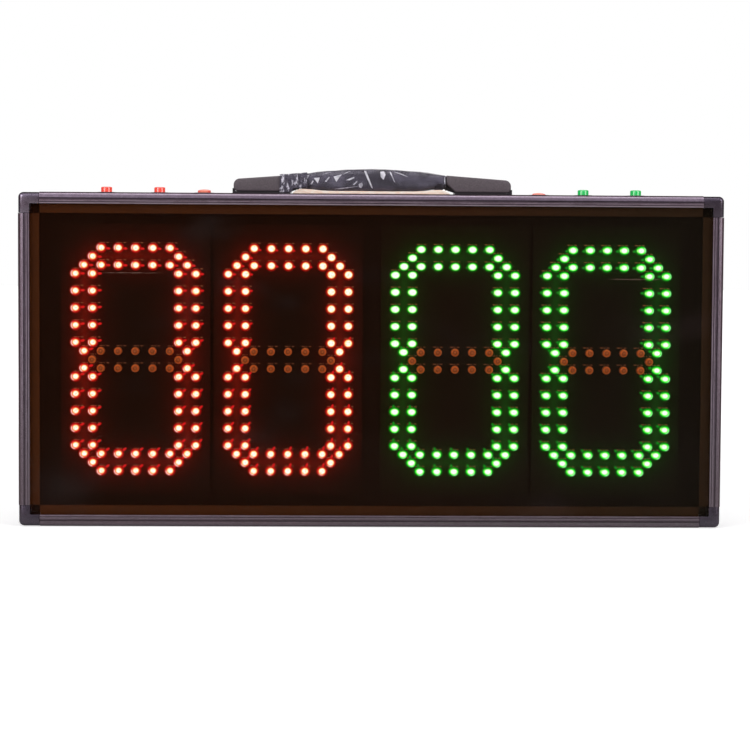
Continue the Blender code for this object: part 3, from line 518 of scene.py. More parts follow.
def mixOf(share, a, b):
    return add("MixShader", None, {0: share, 1: a, 2: b})[0]


def seenStraight(rays):
    return larger(rays["Is Camera Ray"], rays["Is Transmission Ray"])


def makeWorld():
    world = bpy.data.worlds.new("studio")
    world.use_nodes = True
    bpy.context.scene.world = world
    easel["tree"] = world.node_tree
    world.node_tree.nodes.clear()
    rays, white = add("LightPath"), (1, 1, 1)
    unseen = mixOf(rays["Is Glossy Ray"], background(white, studio["ambient"]), background(makeSky()))
    add("OutputWorld", None, {0: mixOf(seenStraight(rays), unseen, background(white))})


def makeLamps():
    for name, power, place, width, height in studio["lamps"]:
        data = bpy.data.lights.new(name, "AREA")
        data.shape = "RECTANGLE"
        data.energy = power
        data.size = width
        data.size_y = height
        obj = bpy.data.objects.new(name, data)
        bpy.context.scene.collection.objects.link(obj)
        obj.location = place
        obj.rotation_euler = (Vector(studio["aim"]) - Vector(place)).to_track_quat("-Z", "Y").to_euler()


def makeFloor():
    front, back = studio["floorFront"], studio["floorBack"]
    floor = addShape(bpy.ops.mesh.primitive_plane_add, "floor", size=1,
                     location=(0, (front + back) / 2, -0.2 * mm))
    openUp(floor)
    grabAll()
    resize((2 * studio["floorHalf"], back - front, 1), (0, (front + back) / 2, 0))
    closeUp()
    floor.data.materials.append(newLook("floorLook", (0.82, 0.82, 0.82), 0.9))
    away = ease(vectors("LENGTH", spot()), 0.5, 2.2, 0.55, 1.0)
    glow((1.0, 1.0, 1.0), times(seenStraight(add("LightPath")), away))


makeWorld()
makeLamps()
makeFloor()
print("studio lit")


# Frame bars: one extruded section each, drawn and pulled along

bar = inMm({
    "width": 680, "height": 322, "depth": 50,
    "ends": 20.6,  # what a corner piece takes of each end
    "wall": 1.8, "shoulder": 4.8, "edge": 0.35,
    "lean": 0.15,  # the outer half of the face leans back by this much at the shoulder
    "lip": 11.2, "lipThick": 1.8, "lipDip": 0.20,
    "face": ((9.7, 0.15), (9.55, 0.45), (9.2, 0.45), (9.05, 0.15), (6.4, 0.03), (6.1, 0.6), (5.6, 0.6),
             (5.3, 0.0)),
    "supportFront": -19.6, "supportThick": 1.6, "supportReach": 20.0, "rearReach": 10.5,
    "ribBack": 20.6, "ribThick": 1.4, "screwFromEnd": 29.3,
    "sink": ((0, -1), (3.3, -1), (3.3, 0.1), (1.8, 1.7), (1.8, 3), (0, 3)),
    "topHoles": ((257.8, 8, 7.6), (206.3, 8, 7.6), (163.0, 8, 8.7), (103.0, 0, 2.1), (126.9, 0, 2.3)),
})


def barSection():
    front, back = -bar["depth"] / 2, bar["depth"] / 2
    wall, radius, edge, lip, rear = pick(bar, "wall shoulder edge lip rearReach")
    support, reach, ribBack = pick(bar, "supportFront supportReach ribBack")
    lipBack, rearLip = front + bar["lipThick"], back - bar["lipThick"]
    supportBack, ribFront = support + bar["supportThick"], ribBack - bar["ribThick"]
    points = arc((radius, front + bar["lean"] + radius), radius, 266, 180, 10)
    points += arc((radius, back - radius), radius, 180, 90, 9)
    points += arc((rear - edge, back - edge), edge, 90, 0, 3)
    points += [(rear, rearLip), (wall, rearLip), (wall, ribBack), (rear, ribBack), (rear, ribFront)]
    points += [(wall, ribFront), (wall, supportBack), (reach, supportBack), (reach, support)]
    points += [(wall, support), (wall, lipBack), (lip, lipBack)]
    points += arc((lip - edge, front + bar["lipDip"] + edge), edge, 0, -90, 3)
    return points + [(inward, front + dip) for inward, dip in bar["face"]]


def makeBar(name, length):
    half, screwX = length / 2 - bar["ends"], length / 2 - bar["screwFromEnd"]
    obj = slab(name, [(-half, y, inward) for inward, y in barSection()], 2 * half, 0, 0)
    return cut(obj, *[turned("sink", bar["sink"], (side * screwX, 0, 0), 24) for side in (-1, 1)])


def makeFrame(levelLook, uprightLook):
    holes = [drum("hole", radius, top - 4 * mm, top + 2 * mm, 32, (side * x, y))
             for x, y, radius in bar["topHoles"] for side in (-1, 1)]
    level = makeBar("bottomBar", bar["width"])
    upper = cut(copyOf(level, "topBar", stance((0, 0, top), 180)), *holes)
    upright, half = makeBar("leftBar", bar["height"]), bar["width"] / 2
    right = copyOf(upright, "rightBar", stance((half, 0, middle), -90))
    upright.matrix_world = stance((-half, 0, middle), 90)
    pieces = ((level, "bottom_bar", levelLook), (upper, "top_bar", levelLook),
              (settle(upright), "left_bar", uprightLook), (right, "right_bar", uprightLook))
    for obj, node, look in pieces:
        fit(shadeBy(obj, 25), "case", "anodised_frame", look, node)


anodised = {
    "pale": inMm(((8.5, 0.4), (10.3, 0.45))),  # painted highlight lines along the lip: how far in, and half width
    # painted shade lines in the grooves, then the metal's own tones
    "dark": inMm(((9.4, 0.4), (6.2, 0.7))), "tones": ((0.25, 0.205, 0.24), (0.31, 0.26, 0.31)),
    # painted light: highlight and shade tones for the lip lines, grooves, outer rim and lower parts, and the
    # inner lip behind the window, brown, redder at the left and darker at the right
    "paleTone": (0.46, 0.39, 0.45), "darkTone": (0.11, 0.09, 0.11), "rimTone": (0.13, 0.085, 0.10),
    "lowTone": (0.085, 0.058, 0.062), "leftBrown": ((0.062, 0.0160, 0.0032), (0.085, 0.0230, 0.0045)),
    "rightBrown": ((0.028, 0.0120, 0.0035), (0.040, 0.0160, 0.0050)), "metallic": 0.95,
}


def fromRim(x, z):
    return smaller(minus(bar["width"] / 2, sizeOf(x)), minus(middle, apart(z, middle)))


def rimShade(y, inward, wide):
    front = ease(y, -20.4 * mm, -21.4 * mm)
    return times(ease(inward, wide + 0.7 * mm, wide - 0.3 * mm), front)


def linesAt(inward, lines):
    shares = [ease(apart(inward, place), half + 0.25 * mm, half - 0.15 * mm) for place, half in lines]
    return larger(*shares)


def makeAnodised(name, stretch, rim):
    metallic = anodised["metallic"]
    look = newLook(name, (0.30, 0.25, 0.30), 0.22, metallic, Specular_IOR_Level=0.06)
    lines, patch = noise(1500, 2, 0.5, stretch), noise(60, 3)
    x, y, z = axes()
    inward = fromRim(x, z)
    # the outside: own tones, then painted highlight and shade lines, painted rim shade and painted shade
    # lower down
    outside = layered(
        blendOf(ease(noise(420, 4, 0.65), 0.35, 0.7), *anodised["tones"]),
        (linesAt(inward, anodised["pale"]), anodised["paleTone"]),
        (times(linesAt(inward, anodised["dark"]), 0.8), anodised["darkTone"]),
        (rimShade(y, inward, rim), anodised["rimTone"]),
        (ease(z, 190 * mm, 20 * mm, 0, 0.52), anodised["lowTone"]))
    inner = times(ease(y, -19.9 * mm, -19.65 * mm), ease(y, 19 * mm, 17 * mm))
    inner = times(inner, ease(inward, 0.5 * mm, 1.0 * mm))
    # the inner lip is painted brown as seen through the window, with painted light fading from left to right
    leftBrown, rightBrown = [blendOf(patch, *anodised[side]) for side in ("leftBrown", "rightBrown")]
    paint(inner, outside, blendOf(ease(x, -250 * mm, 330 * mm), leftBrown, rightBrown))
    feed("Metallic", minus(metallic, times(inner, metallic)))
    feed("Roughness", plus(ease(lines, 0.3, 0.7, 0.24, 0.33), times(inner, 0.3)))
    roughen(lines, 0.006 * mm, 0.25)
    return look


makeFrame(makeAnodised("anodisedLevel", (0.02, 1, 1), 0.6 * mm),
          makeAnodised("anodisedUpright", (1, 1, 0.02), 1.9 * mm))
print("frame bars made")


# Moulded corners, with the slots that take the sheets and the keys that enter the bars

corner = inMm({
    "leg": 20.3, "inset": 0.4, "radius": 5, "shoulder": 4.3, "edge": 0.45, "inside": 0.6,
    "keyReach": 18, "keyLow": 2.1, "keyHigh": 8.1, "keyHalf": 14, "keyEdge": 0.6,
    "slots": ((3.2, -23.2, -19.6), (3.2, 20.6, 23.2), (8.1, -6.8, -4.7)),  # floor, front and back
    "hole": (1.8, -1, 8.5),  # radius, lowest and highest
})


def makeMoulded():
    look = newLook("mouldedLook", (0.24, 0.20, 0.26), 0.30, 0.92)
    fine, broad = noise(1300, 3, 0.6), noise(160, 3, 0.5)
    tone = blendOf(ease(fine, 0.35, 0.7), (0.22, 0.19, 0.235), (0.31, 0.27, 0.33))
    tone = blendOf(ease(broad, 0.45, 0.75, 0, 0.3), tone, (0.16, 0.14, 0.17))
    x, y, z = axes()
    # painted shade: darker towards the right and towards the floor, and along the outer rim at the top
    shadeToRight = ease(x, -200 * mm, 300 * mm, 0, 0.72)
    shadeToFloor = ease(z, 80 * mm, 25 * mm, 0, 0.78)
    rim = minus(rimShade(y, fromRim(x, z), 2.2 * mm), shadeToFloor)
    paint(larger(larger(shadeToRight, shadeToFloor), rim), tone, (0.055, 0.045, 0.060))
    varyGloss(broad, 0.24, 0.33)
    roughen(fine, 0.015 * mm, 0.4)
    return look


def makeCorners(look):
    inset, leg, inside = pick(corner, "inset leg inside")
    low, high, deep, edge = pick(corner, "keyLow keyHigh keyHalf keyEdge")
    front, half, lip = -bar["depth"] / 2 + inset, bar["width"] / 2, bar["lip"]
    outline = arc((inset + corner["radius"],) * 2, corner["radius"], 180, 270, 12)
    outline += [(leg, inset), (leg, lip), (lip + inside, lip), (lip, lip + inside), (lip, leg), (inset, leg)]
    body = slab("cornerPiece", [(x, front, z) for x, z in outline], 0, bar["depth"] - 2 * inset, 0)
    bevelEdges(body, lambda c, d: abs(d.y) < 0.1 and min(c.x, c.z) < inset + 2 * mm, corner["shoulder"], 7)
    soften(body, corner["edge"], 3, 50)
    root, reach, far = leg - 2 * mm, leg + corner["keyReach"], leg + 2 * mm
    flatKey = soften(block("key", (root, -deep, low), (reach, deep, high)), edge)
    tallKey = soften(block("key", (low, -deep, root), (high, deep, reach)), edge)
    cut(body, flatKey, tallKey, operation="UNION")
    cut(body, *[block("slot", (floor, y, floor), (far, back, far)) for floor, y, back in corner["slots"]])
    for place, turn in (((bar["screwFromEnd"], 0, 0), 0), ((0, 0, bar["screwFromEnd"]), quarter)):
        cut(body, put(drum("hole", *corner["hole"], 20), place, (0, turn, 0)))
    for name, x, z, degrees in (("bottom_left", -half, 0, 0), ("top_left", -half, top, 90),
                                ("top_right", half, top, 180), ("bottom_right", half, 0, -90)):
        piece = copyOf(body, f"corner_{name}_moulded", stance((x, 0, z), degrees))
        fit(shadeBy(piece, 30), "case", "moulded_corner", look, "corner_" + name)
    bpy.data.objects.remove(body)


makeCorners(makeMoulded())
print("corners made")


# Countersunk screws with a cross recess

screw = inMm({
    "profile": ((0, 0), (2.7, 0), (2.9, -0.2), (1.45, -1.6), (1.45, -5.9), (0.4, -6.7), (0, -6.7)),
    "blade": (1.7, 0.275, 1.3),  # half length, half width and depth of the cross
    "sink": 0.1,
})


def makeZinc():
    look = mottled("zincLook", (0.56, 0.57, 0.59), 0.33, (380, 4, 0.6),
                   ((0.47, 0.48, 0.50), (0.66, 0.66, 0.68)), gloss=(0.26, 0.42), metallic=1.0)
    roughen(noise(1500), 0.02 * mm, 0.4)
    return look


def makeScrews(look):
    body = turned("screwBody", screw["profile"], steps=28)
    long, wide, deep = screw["blade"]
    for turn in (0, quarter):
        blade = block("blade", (-long, -wide, -deep), (long, wide, mm))
        openUp(blade)
        grab(blade, "FACE", lambda c, n: n.z < -0.9)
        resize((0.35, 1, 1), (0, 0, -deep))
        closeUp()
        cut(body, put(blade, (0, 0, 0), (0, 0, turn)))
    half, up, sink = bar["width"] / 2, bar["screwFromEnd"], screw["sink"]
    for side, sideName in ((-1, "left"), (1, "right")):
        for levelName, face, high, degrees in (("bottom", sink, up, 180), ("top", top - sink, top - up, 0)):
            level = stance((side * (half - up), 0, face), degrees, "X")
            upright = stance((side * (half - sink), 0, high), side * 90)
            for kind, matrix in (("level", level), ("upright", upright)):
                node = f"screw_{levelName}_{sideName}_{kind}"
                fit(shadeBy(copyOf(body, node + "_cross", matrix), 30), "case", "zinc_steel", look, node)
    bpy.data.objects.remove(body)


zincLook = makeZinc()
makeScrews(zincLook)
print("screws made")


# Window of smoked acrylic and the sheet behind

window = {
    **inMm({"half": 336.5, "low": 3.5, "front": -22.9, "back": -19.9, "edge": 0.3}),
    "tints": ((0.050, 0.0145, 0.006), (0.034, 0.024, 0.015)),  # brown of the acrylic at the left and the right, with painted light: redder at the left, darker and less red at the right
    "hazeTone": (0.075, 0.050, 0.045), "scuffTone": (0.50, 0.30, 0.24), "alpha": 0.12, "scuffAlpha": 0.6,
    "scuffs": inMm(((-231.1, 244.8, 31.0), (256.0, 241.2, 32.0))),  # middle x and z, half length
}


def makeSmoked():
    look = newLook("smokedLook", (0.05, 0.014, 0.006), 0.06, IOR=1.49, Specular_IOR_Level=0.12)
    x, _, z = axes()
    haze = ease(noise(9, 3, 0.55, (1, 1, 1.6)), 0.55, 0.80)
    # the tint fades from left to right: painted light on the acrylic's own brown
    tint = blendOf(haze, blendOf(ease(x, -150 * mm, 300 * mm), *window["tints"]), window["hazeTone"])
    marks = times(ease(cells(130.0), 0.06, 0.02), ease(noise(37, 1), 0.60, 0.68))
    for middleX, middleZ, half in window["scuffs"]:
        along = ease(apart(x, middleX), half, half * 0.6)
        wavy = plus(apart(z, middleZ), times(noise(120, 2), 0.6 * mm))
        mark = times(along, ease(wavy, 1.2 * mm, 0.4 * mm))
        marks = larger(marks, times(mark, ease(noise(260, 3, 0.6), 0.35, 0.65, 0.12, 0.55)))
    paint(marks, tint, window["scuffTone"])
    feed("Alpha", ease(marks, 0, 1, window["alpha"], window["scuffAlpha"]))
    feed("Roughness", ease(noise(14, 4, 0.6, (0.4, 1, 1)), 0.35, 0.7, 0.03, 0.09))
    return look


def makeSheet(name, sheet):
    half, low = sheet["half"], sheet["low"]
    obj = block(name, (-half, sheet["front"], low), (half, sheet["back"], top - low))
    return soften(obj, sheet["edge"], 2)


fit(makeSheet("windowSheet", window), "case", "smoked_acrylic", makeSmoked(), "front_window")
print("window made")


panel = inMm({"half": 336.5, "low": 3.5, "front": 20.9, "back": 22.9, "edge": 0.25,
              "socket": (250, 60), "hole": 6.0})


def makeSheetBlack():
    look = mottled("sheetBlack", (0.020, 0.019, 0.020), 0.5, (22, 4, 0.55),
                   ((0.014, 0.013, 0.014), (0.032, 0.030, 0.032)), gloss=(0.42, 0.6))
    roughen(cells(900.0), 0.05 * mm, 0.8)
    return look


def makeBackPanel(look):
    x, z = panel["socket"]
    hole = drum("hole", panel["hole"], -3 * mm, 3 * mm, 40)
    obj = cut(makeSheet("backSheet", panel), put(hole, (x, panel["back"] - mm, z), (quarter, 0, 0)))
    fit(shadeBy(obj, 30), "case", "back_sheet", look, "back_panel")


makeBackPanel(makeSheetBlack())
print("back panel made")


# Digits: a plate, its lamps, the solder pads above them, the painted glow on the plate and a painted
# reflection beside each lit lamp

digits = inMm({
    "centres": (-228.2, -80.8, 80.8, 228.2), "halfPitch": 8.3,
    "plate": (144, 1.6, 262),  # width, thickness and height
    "stud": (3, 0, 2.9),  # radius, lowest and highest
    "studInset": 8, "front": -10.5, "tip": -18.9, "radius": 4, "dome": 3.2,
    "foot": (0, 238),  # the point of the board straight before the camera
    "pads": ((-3.6, 1.5), (-0.6, 0.7), (2.9, 1.2)),  # middle and half width
    # tailFrom, tailHalf and tailless place a painted reflection beside each lit lamp; glowBend and glowReach
    # shape the painted glow on the plate
    "padRows": (4.5, 5.4), "tailFrom": 3.6, "tailHalf": 1.5, "tailless": 60, "glowBend": 20,
    "glowReach": 9,
})
digits.update({
    "domeAngles": (28, 56, 78),
    "halo": 1.45,  # ring of painted glow round each lit lamp, in lamp radii
    # tail: how far the painted reflection moves out with the lamp's distance from the point before the camera
    "tail": 0.0115, "padShift": 0.0085,
    "rows": {
        13: (-4, -2, 0, 2, 4),
        12: (-5, 5),
        11: (-6, -4, -2, 0, 2, 4, 6),
        **dict.fromkeys((10, 8, 6, 4, 2), (-7, -5, 5, 7)),
        1: (-6, -4, -2, 0, 2, 4, 6),
        0: (-5, 5),
    },
    "black": (0.002, 0.0015, 0.0012), "offLamp": (9, 9, 0),
})

# on each palette, board and far are the painted glow of the lamps on the plate, near them and far off; tail
# is a painted reflection beside each lamp; crescent is a painted highlight on the lens
redGlow = {
    "core": (1.35, 1.32, 1.22), "warm": (1.35, 1.00, 0.42), "coreEdge": (1.35, 0.75, 0.16),
    "crescent": (1.3, 0.80, 0.70), "fill": (1.15, 0.060, 0.040), "ring": (0.66, 0.009, 0.009),
    "outer": (0.36, 0.0030, 0.0025), "tail": (0.80, 0.011, 0.012), "board": (0.120, 0.0030, 0.0014),
    "far": (0.0022, 0.0010, 0.0005), "tailLong": 2.9 * mm, "squash": (0.97, 1.03),
}
greenGlow = {
    "core": (1.30, 1.32, 1.30), "warm": (1.05, 1.32, 0.95), "coreEdge": (0.55, 1.3, 0.28),
    "crescent": (0.50, 1.3, 0.55), "fill": (0.01, 1.20, 0.03), "ring": (0.0, 0.58, 0.010),
    "outer": (0.0, 0.13, 0.004), "tail": (0.002, 0.30, 0.012), "board": (0.0010, 0.038, 0.002),
    "far": (0.0024, 0.0015, 0.0006), "tailLong": 2.2 * mm, "squash": (0.90, 1.12),
}


def lampPlaces():
    places = []
    for row, columns in digits["rows"].items():
        for side in (-1, 1) if row else (1,):
            places += [(column, side * row) for column in columns]
    return places


def isUnlit(column, row):
    return row == 0 or abs(row) == 1 and abs(column) <= 4


def note(obj, name, values):  # one value for each point, or one for all
    if isinstance(values, tuple):
        values = [values] * len(obj.data.vertices)
    made = obj.data.attributes.new(name, "FLOAT_VECTOR", "POINT")
    made.data.foreach_set("vector", [v for value in values for v in value])


def noteFace(obj, radius):
    note(obj, "lampFace", [(v.co.x / radius, v.co.z / radius, 0) for v in obj.data.vertices])


def lensTemplate(name, look, haloLook):
    radius, front, dome = digits["radius"], digits["front"], digits["dome"]
    shoulder, lying = digits["tip"] + dome, (quarter, 0, 0)
    obj = addShape(bpy.ops.mesh.primitive_cylinder_add, name, vertices=14, radius=radius,
                   depth=front - shoulder, location=(0, (front + shoulder) / 2, 0), rotation=lying)
    openUp(obj)
    wide, deep = 1.0, 0.0
    for angle in digits["domeAngles"]:
        nextWide, nextDeep = math.cos(math.radians(angle)), math.sin(math.radians(angle)) * dome
        grab(obj, "FACE", lambda c, n: n.y < -0.99 and c.y < front - mm)
        pull(0, deep - nextDeep, 0)
        resize((nextWide / wide,) * 3, (0, shoulder - nextDeep, 0))
        wide, deep = nextWide, nextDeep
    grab(obj, "FACE", lambda c, n: n.y > 0.99)
    bpy.ops.mesh.delete(type="FACE")
    closeUp()
    dress(obj, look)
    # a ring of painted glow on the plate round the lens
    if haloLook:
        halo = addShape(bpy.ops.mesh.primitive_circle_add, "halo", vertices=14, fill_type="NGON",
                        radius=radius * digits["halo"], location=(0, front - 0.06 * mm, 0), rotation=lying)
        openUp(halo)
        grabAll()
        bpy.ops.mesh.inset(thickness=radius * (digits["halo"] - 0.9))
        bpy.ops.mesh.delete(type="FACE")
        closeUp()
        dress(halo, haloLook)
        obj = join(name, [obj, halo])
    noteFace(obj, radius)
    return shadeBy(obj, 40)


def padTemplate(look):
    front, (low, high) = digits["front"], digits["padRows"]
    pads = []
    for x, half in digits["pads"]:
        pad = block("pad", (x - half, front - 0.16 * mm, low), (x + half, front - 0.04 * mm, high))
        pads.append(soften(pad, 0.3 * mm, 1))
    obj = join("pads", pads)
    dress(obj, look)
    note(obj, "lampFace", digits["offLamp"])
    return obj


# a small disc of painted reflection, set on the plate beside a lit lamp
def tailTemplate(look):
    obj = addShape(bpy.ops.mesh.primitive_circle_add, "tail", vertices=12, radius=1, fill_type="TRIFAN",
                   location=(0, 0, 0), rotation=(quarter, 0, 0))
    dress(obj, look)
    noteFace(obj, 1.0)
    return obj


def glowField(centre, palette):  # painted glow of the lamps on the plate, brightest along a loop with round corners, where the lamps stand
    pitch, bend = digits["halfPitch"], digits["glowBend"]
    place = spot(shift=(-centre, 0, -middle))
    x, _, z = axes(place)
    sides = [minus(sizeOf(out), half - bend) for out, half in ((x, 6 * pitch), (z, 12 * pitch))]
    squares = [calc("POWER", larger(side, 0.0), 2.0) for side in sides]
    distance = apart(plus(calc("SQRT", plus(*squares)), smaller(larger(*sides), 0.0)), bend)
    near = calc("EXPONENT", times(distance, -1 / digits["glowReach"]))
    share = times(near, ease(noise(45, 3, 0.6, place=place), 0.25, 0.8, 0.65, 1.35))
    return vectors("ADD", scaled(palette["board"], share), palette["far"])


def makeGlowing(name, centre, palette, glossy):
    look = newLook(name, digits["black"], 0.12 if glossy else 0.6, Specular_IOR_Level=0.1 if glossy else 0.0)
    here, toFoot = vectors("MULTIPLY", notes("lampFace"), (*palette["squash"], 1)), notes("toFoot")
    away = smaller(vectors("LENGTH", toFoot), 1.0)
    coreRadius = minus(0.88, times(away, 0.23))
    fromCore = minus(vectors("LENGTH", vectors("SUBTRACT", here, scaled(toFoot, 0.22))), coreRadius)
    radius = vectors("LENGTH", here)
    outward = times(vectors("DOT_PRODUCT", here, toFoot), -1.0)
    # a painted highlight on the lens: a crescent on the side away from the point before the camera
    crescent = times(ease(radius, 0.62, 0.8), ease(radius, 1.05, 0.9))
    speck = ease(noise(640, 2), 0.50, 0.66)
    glow(layered(
        palette["outer"],
        (ease(radius, 1.10, 1.62), glowField(centre, palette)),
        (ease(radius, 1.20, 0.96), palette["ring"]),
        (ease(radius, 1.0, 0.86), palette["fill"]),
        (times(crescent, ease(outward, 0.35, 0.6)), palette["crescent"]),
        (ease(fromCore, 0.10, 0.02), palette["coreEdge"]),
        (ease(fromCore, 0.0, -0.22), blendOf(speck, palette["core"], palette["warm"]))))
    return look


def makeTailLook(name, centre, palette):
    look = newLook(name, digits["black"], 0.6, Specular_IOR_Level=0.0)
    radius = vectors("LENGTH", notes("lampFace"))
    glow(blendOf(ease(radius, 1.0, 0.55), glowField(centre, palette), palette["tail"]))
    return look


def makeUnlit():
    look = newLook("unlitLens", (0.50, 0.16, 0.03), 0.35, Specular_IOR_Level=0.08)
    radius = vectors("LENGTH", notes("lampFace"))
    wobble = plus(radius, times(noise(420, 2), 0.25))
    inner = blendOf(ease(wobble, 0.22, 0.42), (0.60, 0.135, 0.030), (0.30, 0.060, 0.014))
    outer = blendOf(ease(wobble, 0.55, 0.8), inner, (0.72, 0.140, 0.026))
    paint(ease(radius, 0.88, 1.0), outer, (0.16, 0.030, 0.008))
    return look


def makePlate(look, centre):
    wide, thick, tall = digits["plate"]
    front, inset = digits["front"], digits["studInset"]
    low = (centre - wide / 2, front, middle - tall / 2)
    plate = block("plate", low, (centre + wide / 2, front + thick, middle + tall / 2))
    bevelEdges(plate, lambda c, d: abs(d.y) > 0.9, 2 * mm, 4)
    for side in (-1, 1):
        for level in (-1, 1):
            x, z = centre + side * (wide / 2 - inset), middle + level * (tall / 2 - inset)
            stud = put(drum("stud", *digits["stud"], 6), (x, front + thick / 2, z), (-quarter, 0, 0))
            cut(plate, stud, operation="UNION")
    dress(plate, look)
    note(plate, "lampFace", digits["offLamp"])
    note(plate, "toFoot", (0, 0, 0))
    return plate


def setDown(template, parts, place, toFoot, scale=(1, 1, 1), turn=0.0):
    obj = template.copy()
    obj.data = template.data.copy()
    bpy.context.scene.collection.objects.link(obj)
    facing = Matrix.Translation(place) @ Matrix.Rotation(turn, 4, "Y")
    obj.data.transform(facing @ Matrix.Diagonal((*scale, 1)))
    note(obj, "toFoot", toFoot)
    parts.append(obj)


def makeDigit(number, centre, palette, slotName, unlitLook, padLook):
    # the plate wears the painted glow of its lamps
    glowingBoardLook = makeGlowing(f"board{number}", centre, palette, False)
    lit = lensTemplate("litLamp", makeGlowing(f"lens{number}", centre, palette, True), glowingBoardLook)
    unlit = lensTemplate("unlitLamp", unlitLook, None)
    pads = padTemplate(padLook)
    tail = tailTemplate(makeTailLook(f"tail{number}", centre, palette))
    parts = [makePlate(glowingBoardLook, centre)]
    footX, footZ = digits["foot"]
    for column, row in lampPlaces():
        x, z = centre + column * digits["halfPitch"], middle + row * digits["halfPitch"]
        away = Vector((footX - x, 0, footZ - z))
        toFoot = (away.x / 0.3, away.z / 0.3, 0)
        dark = isUnlit(column, row)
        setDown(unlit if dark else lit, parts, (x, 0, z), toFoot)
        setDown(pads, parts, (x + 1.2 * mm - digits["padShift"] * (x - footX), 0, z), toFoot)
        # lamps away from the point before the camera get a painted reflection on the plate, pushed towards
        # that point
        if not dark and away.length > digits["tailless"]:
            shift = away.normalized() * (digits["tailFrom"] + digits["tail"] * away.length)
            place = Vector((x, digits["front"] - 0.2 * mm, z)) + shift
            turn = -math.atan2(away.z, away.x)
            setDown(tail, parts, place, toFoot, (palette["tailLong"], 1, digits["tailHalf"]), turn)
    for template in (lit, unlit, pads, tail):
        bpy.data.objects.remove(template)
    fit(join(f"digit{number}", parts), "case", slotName, None, f"digit_board_{number}")


def makeDigits():
    unlitLook = makeUnlit()
    padLook = mottled("padLook", (0.30, 0.13, 0.035), 0.35, (500, 2),
                      ((0.20, 0.050, 0.015), (0.40, 0.12, 0.033)))
    for number, centre in enumerate(digits["centres"], 1):
        palette, slotName = (redGlow, "display_red") if centre < 0 else (greenGlow, "display_green")
        makeDigit(number, centre, palette, slotName, unlitLook, padLook)


makeDigits()
print("digits made")


# Push buttons and rockers on the top face

button = {  # in mm
    "places": {"left_outer": -257.8, "left_inner": -206.3, "right_inner": 206.3, "right_outer": 257.8},
    "y": 8, "radius": 5.4, "rise": 6.0, "crown": 0.3, "edge": 1.1, "shoulder": -1.5, "skirt": 6.0,
    "sink": -5.0, "gap": 0.3, "boreFloor": -8.3, "stop": -1.2, "flange": 9.1, "flangeTop": 0.7,
    "flangeEdge": 0.4, "seat": 0.3, "barrel": 7.3,
    "thread": (-2.6, 0.8, 9),  # start, pitch and turns
    "tail": ((7.3, -10.5), (5, -10.5), (5, -16), (0, -16)),
}


def makeBright(name, colour, light):
    paler = tuple(min(1.0, c * 1.06 + 0.004) for c in colour)
    look = mottled(name, colour, 0.13, (300, 3), (colour, paler), (0.3, 0.7), (0.12, 0.15),
                   IOR=1.8, Coat_Weight=1.0, Coat_IOR=1.6, Coat_Roughness=0.04)
    # the caps are no lamps: this glow is painted light that brightens them
    glow(light)
    return look


def buttonProfiles():
    radius, rise, crown, edge, gap, skirt = pick(button, "radius rise crown edge gap skirt")
    shoulder, sink, floor, stop, lip = pick(button, "shoulder sink boreFloor stop flangeTop")
    flange, bend, barrel = pick(button, "flange flangeEdge barrel")
    cap = [(radius * share, rise - crown * share * share) for share in (0, 0.25, 0.5, 0.7)]
    cap += arc((radius - edge, rise - crown - edge), edge, 84, 0)
    cap += [(radius, shoulder), (skirt, shoulder), (skirt, sink), (0, sink)]
    bore, bezel = skirt + gap, radius + gap
    body = [(0, floor), (bore, floor), (bore, stop), (bezel, stop), (bezel, lip - 0.2), (bezel + 0.2, lip)]
    body += arc((flange - bend, lip - bend), bend, 90, 0, 4)
    body += [(barrel, button["seat"]), *thread(barrel, *button["thread"]), *button["tail"]]
    return inMm(cap), inMm(body)


def makeButtons(blackLook):
    # each cap's second colour is a painted glow
    red = (makeBright("redCap", (0.92, 0.072, 0.040), (0.40, 0.034, 0.019)), "red_cap")
    green = (makeBright("greenCap", (0.008, 0.60, 0.115), (0.0, 0.16, 0.03)), "green_cap")
    cap, body = buttonProfiles()
    for name, x in button["places"].items():
        place = (x * mm, button["y"] * mm, top)
        look, slotName = red if x < 0 else green
        piece = shadeBy(turned(f"button_{name}_top", cap, place))
        fit(piece, "push_cap_" + name, slotName, look, f"button_{name}_cap")
        piece = shadeBy(turned(f"button_{name}_bezel", body, place))
        fit(piece, "case", "black_plastic", blackLook, f"button_{name}_body")


rocker = inMm({
    "x": 163.0, "y": 8, "pivot": -1.5, "radius": 6.3, "rises": {"left": 4.7, "right": 3.4}, "dip": 0.5,
    "edge": 1.5, "skirt": 6, "skirtHalf": 4.2, "bore": 7.0, "housing": 8.4, "flange": 10.2,
    "flangeEdge": 0.4,
    "floors": (-11, -12.5),  # inside and out
    "seat": 0.3,
})
rocker.update({
    "turn": math.radians(9),
})


def makeLitRocker():
    look = newLook("litRocker", (0.85, 0.20, 0.13), 0.34)
    # the base colour is painted lighter in the middle and deeper red at the sides, painted highlight and
    # shade; the glow is the rocker's own lamp, brighter in the middle
    edge = ease(apart(sizeOf(axes()[0]), rocker["x"]), 2.5 * mm, 5.8 * mm)
    paint(edge, (0.86, 0.235, 0.15), (0.86, 0.075, 0.05))
    glow(blendOf(edge, (0.30, 0.070, 0.045), (0.26, 0.020, 0.014)))
    varyGloss(noise(300, 3), 0.28, 0.40)
    return look


def makeHousing(name, x, look):
    bore, housing, seat, edge = pick(rocker, "bore housing seat flangeEdge")
    floor, under = rocker["floors"]
    profile = [(0, floor), (bore, floor), (bore, seat + 0.2 * mm), (bore + 0.2 * mm, seat + edge)]
    profile += arc((rocker["flange"] - edge, seat), edge, 90, 0, 4)
    profile += [(housing, seat), (housing, under), (0, under)]
    piece = shadeBy(turned(f"rocker_{name}_socket", profile, (x, rocker["y"], top), 48))
    fit(piece, "case", "black_plastic", look, f"rocker_{name}_housing")


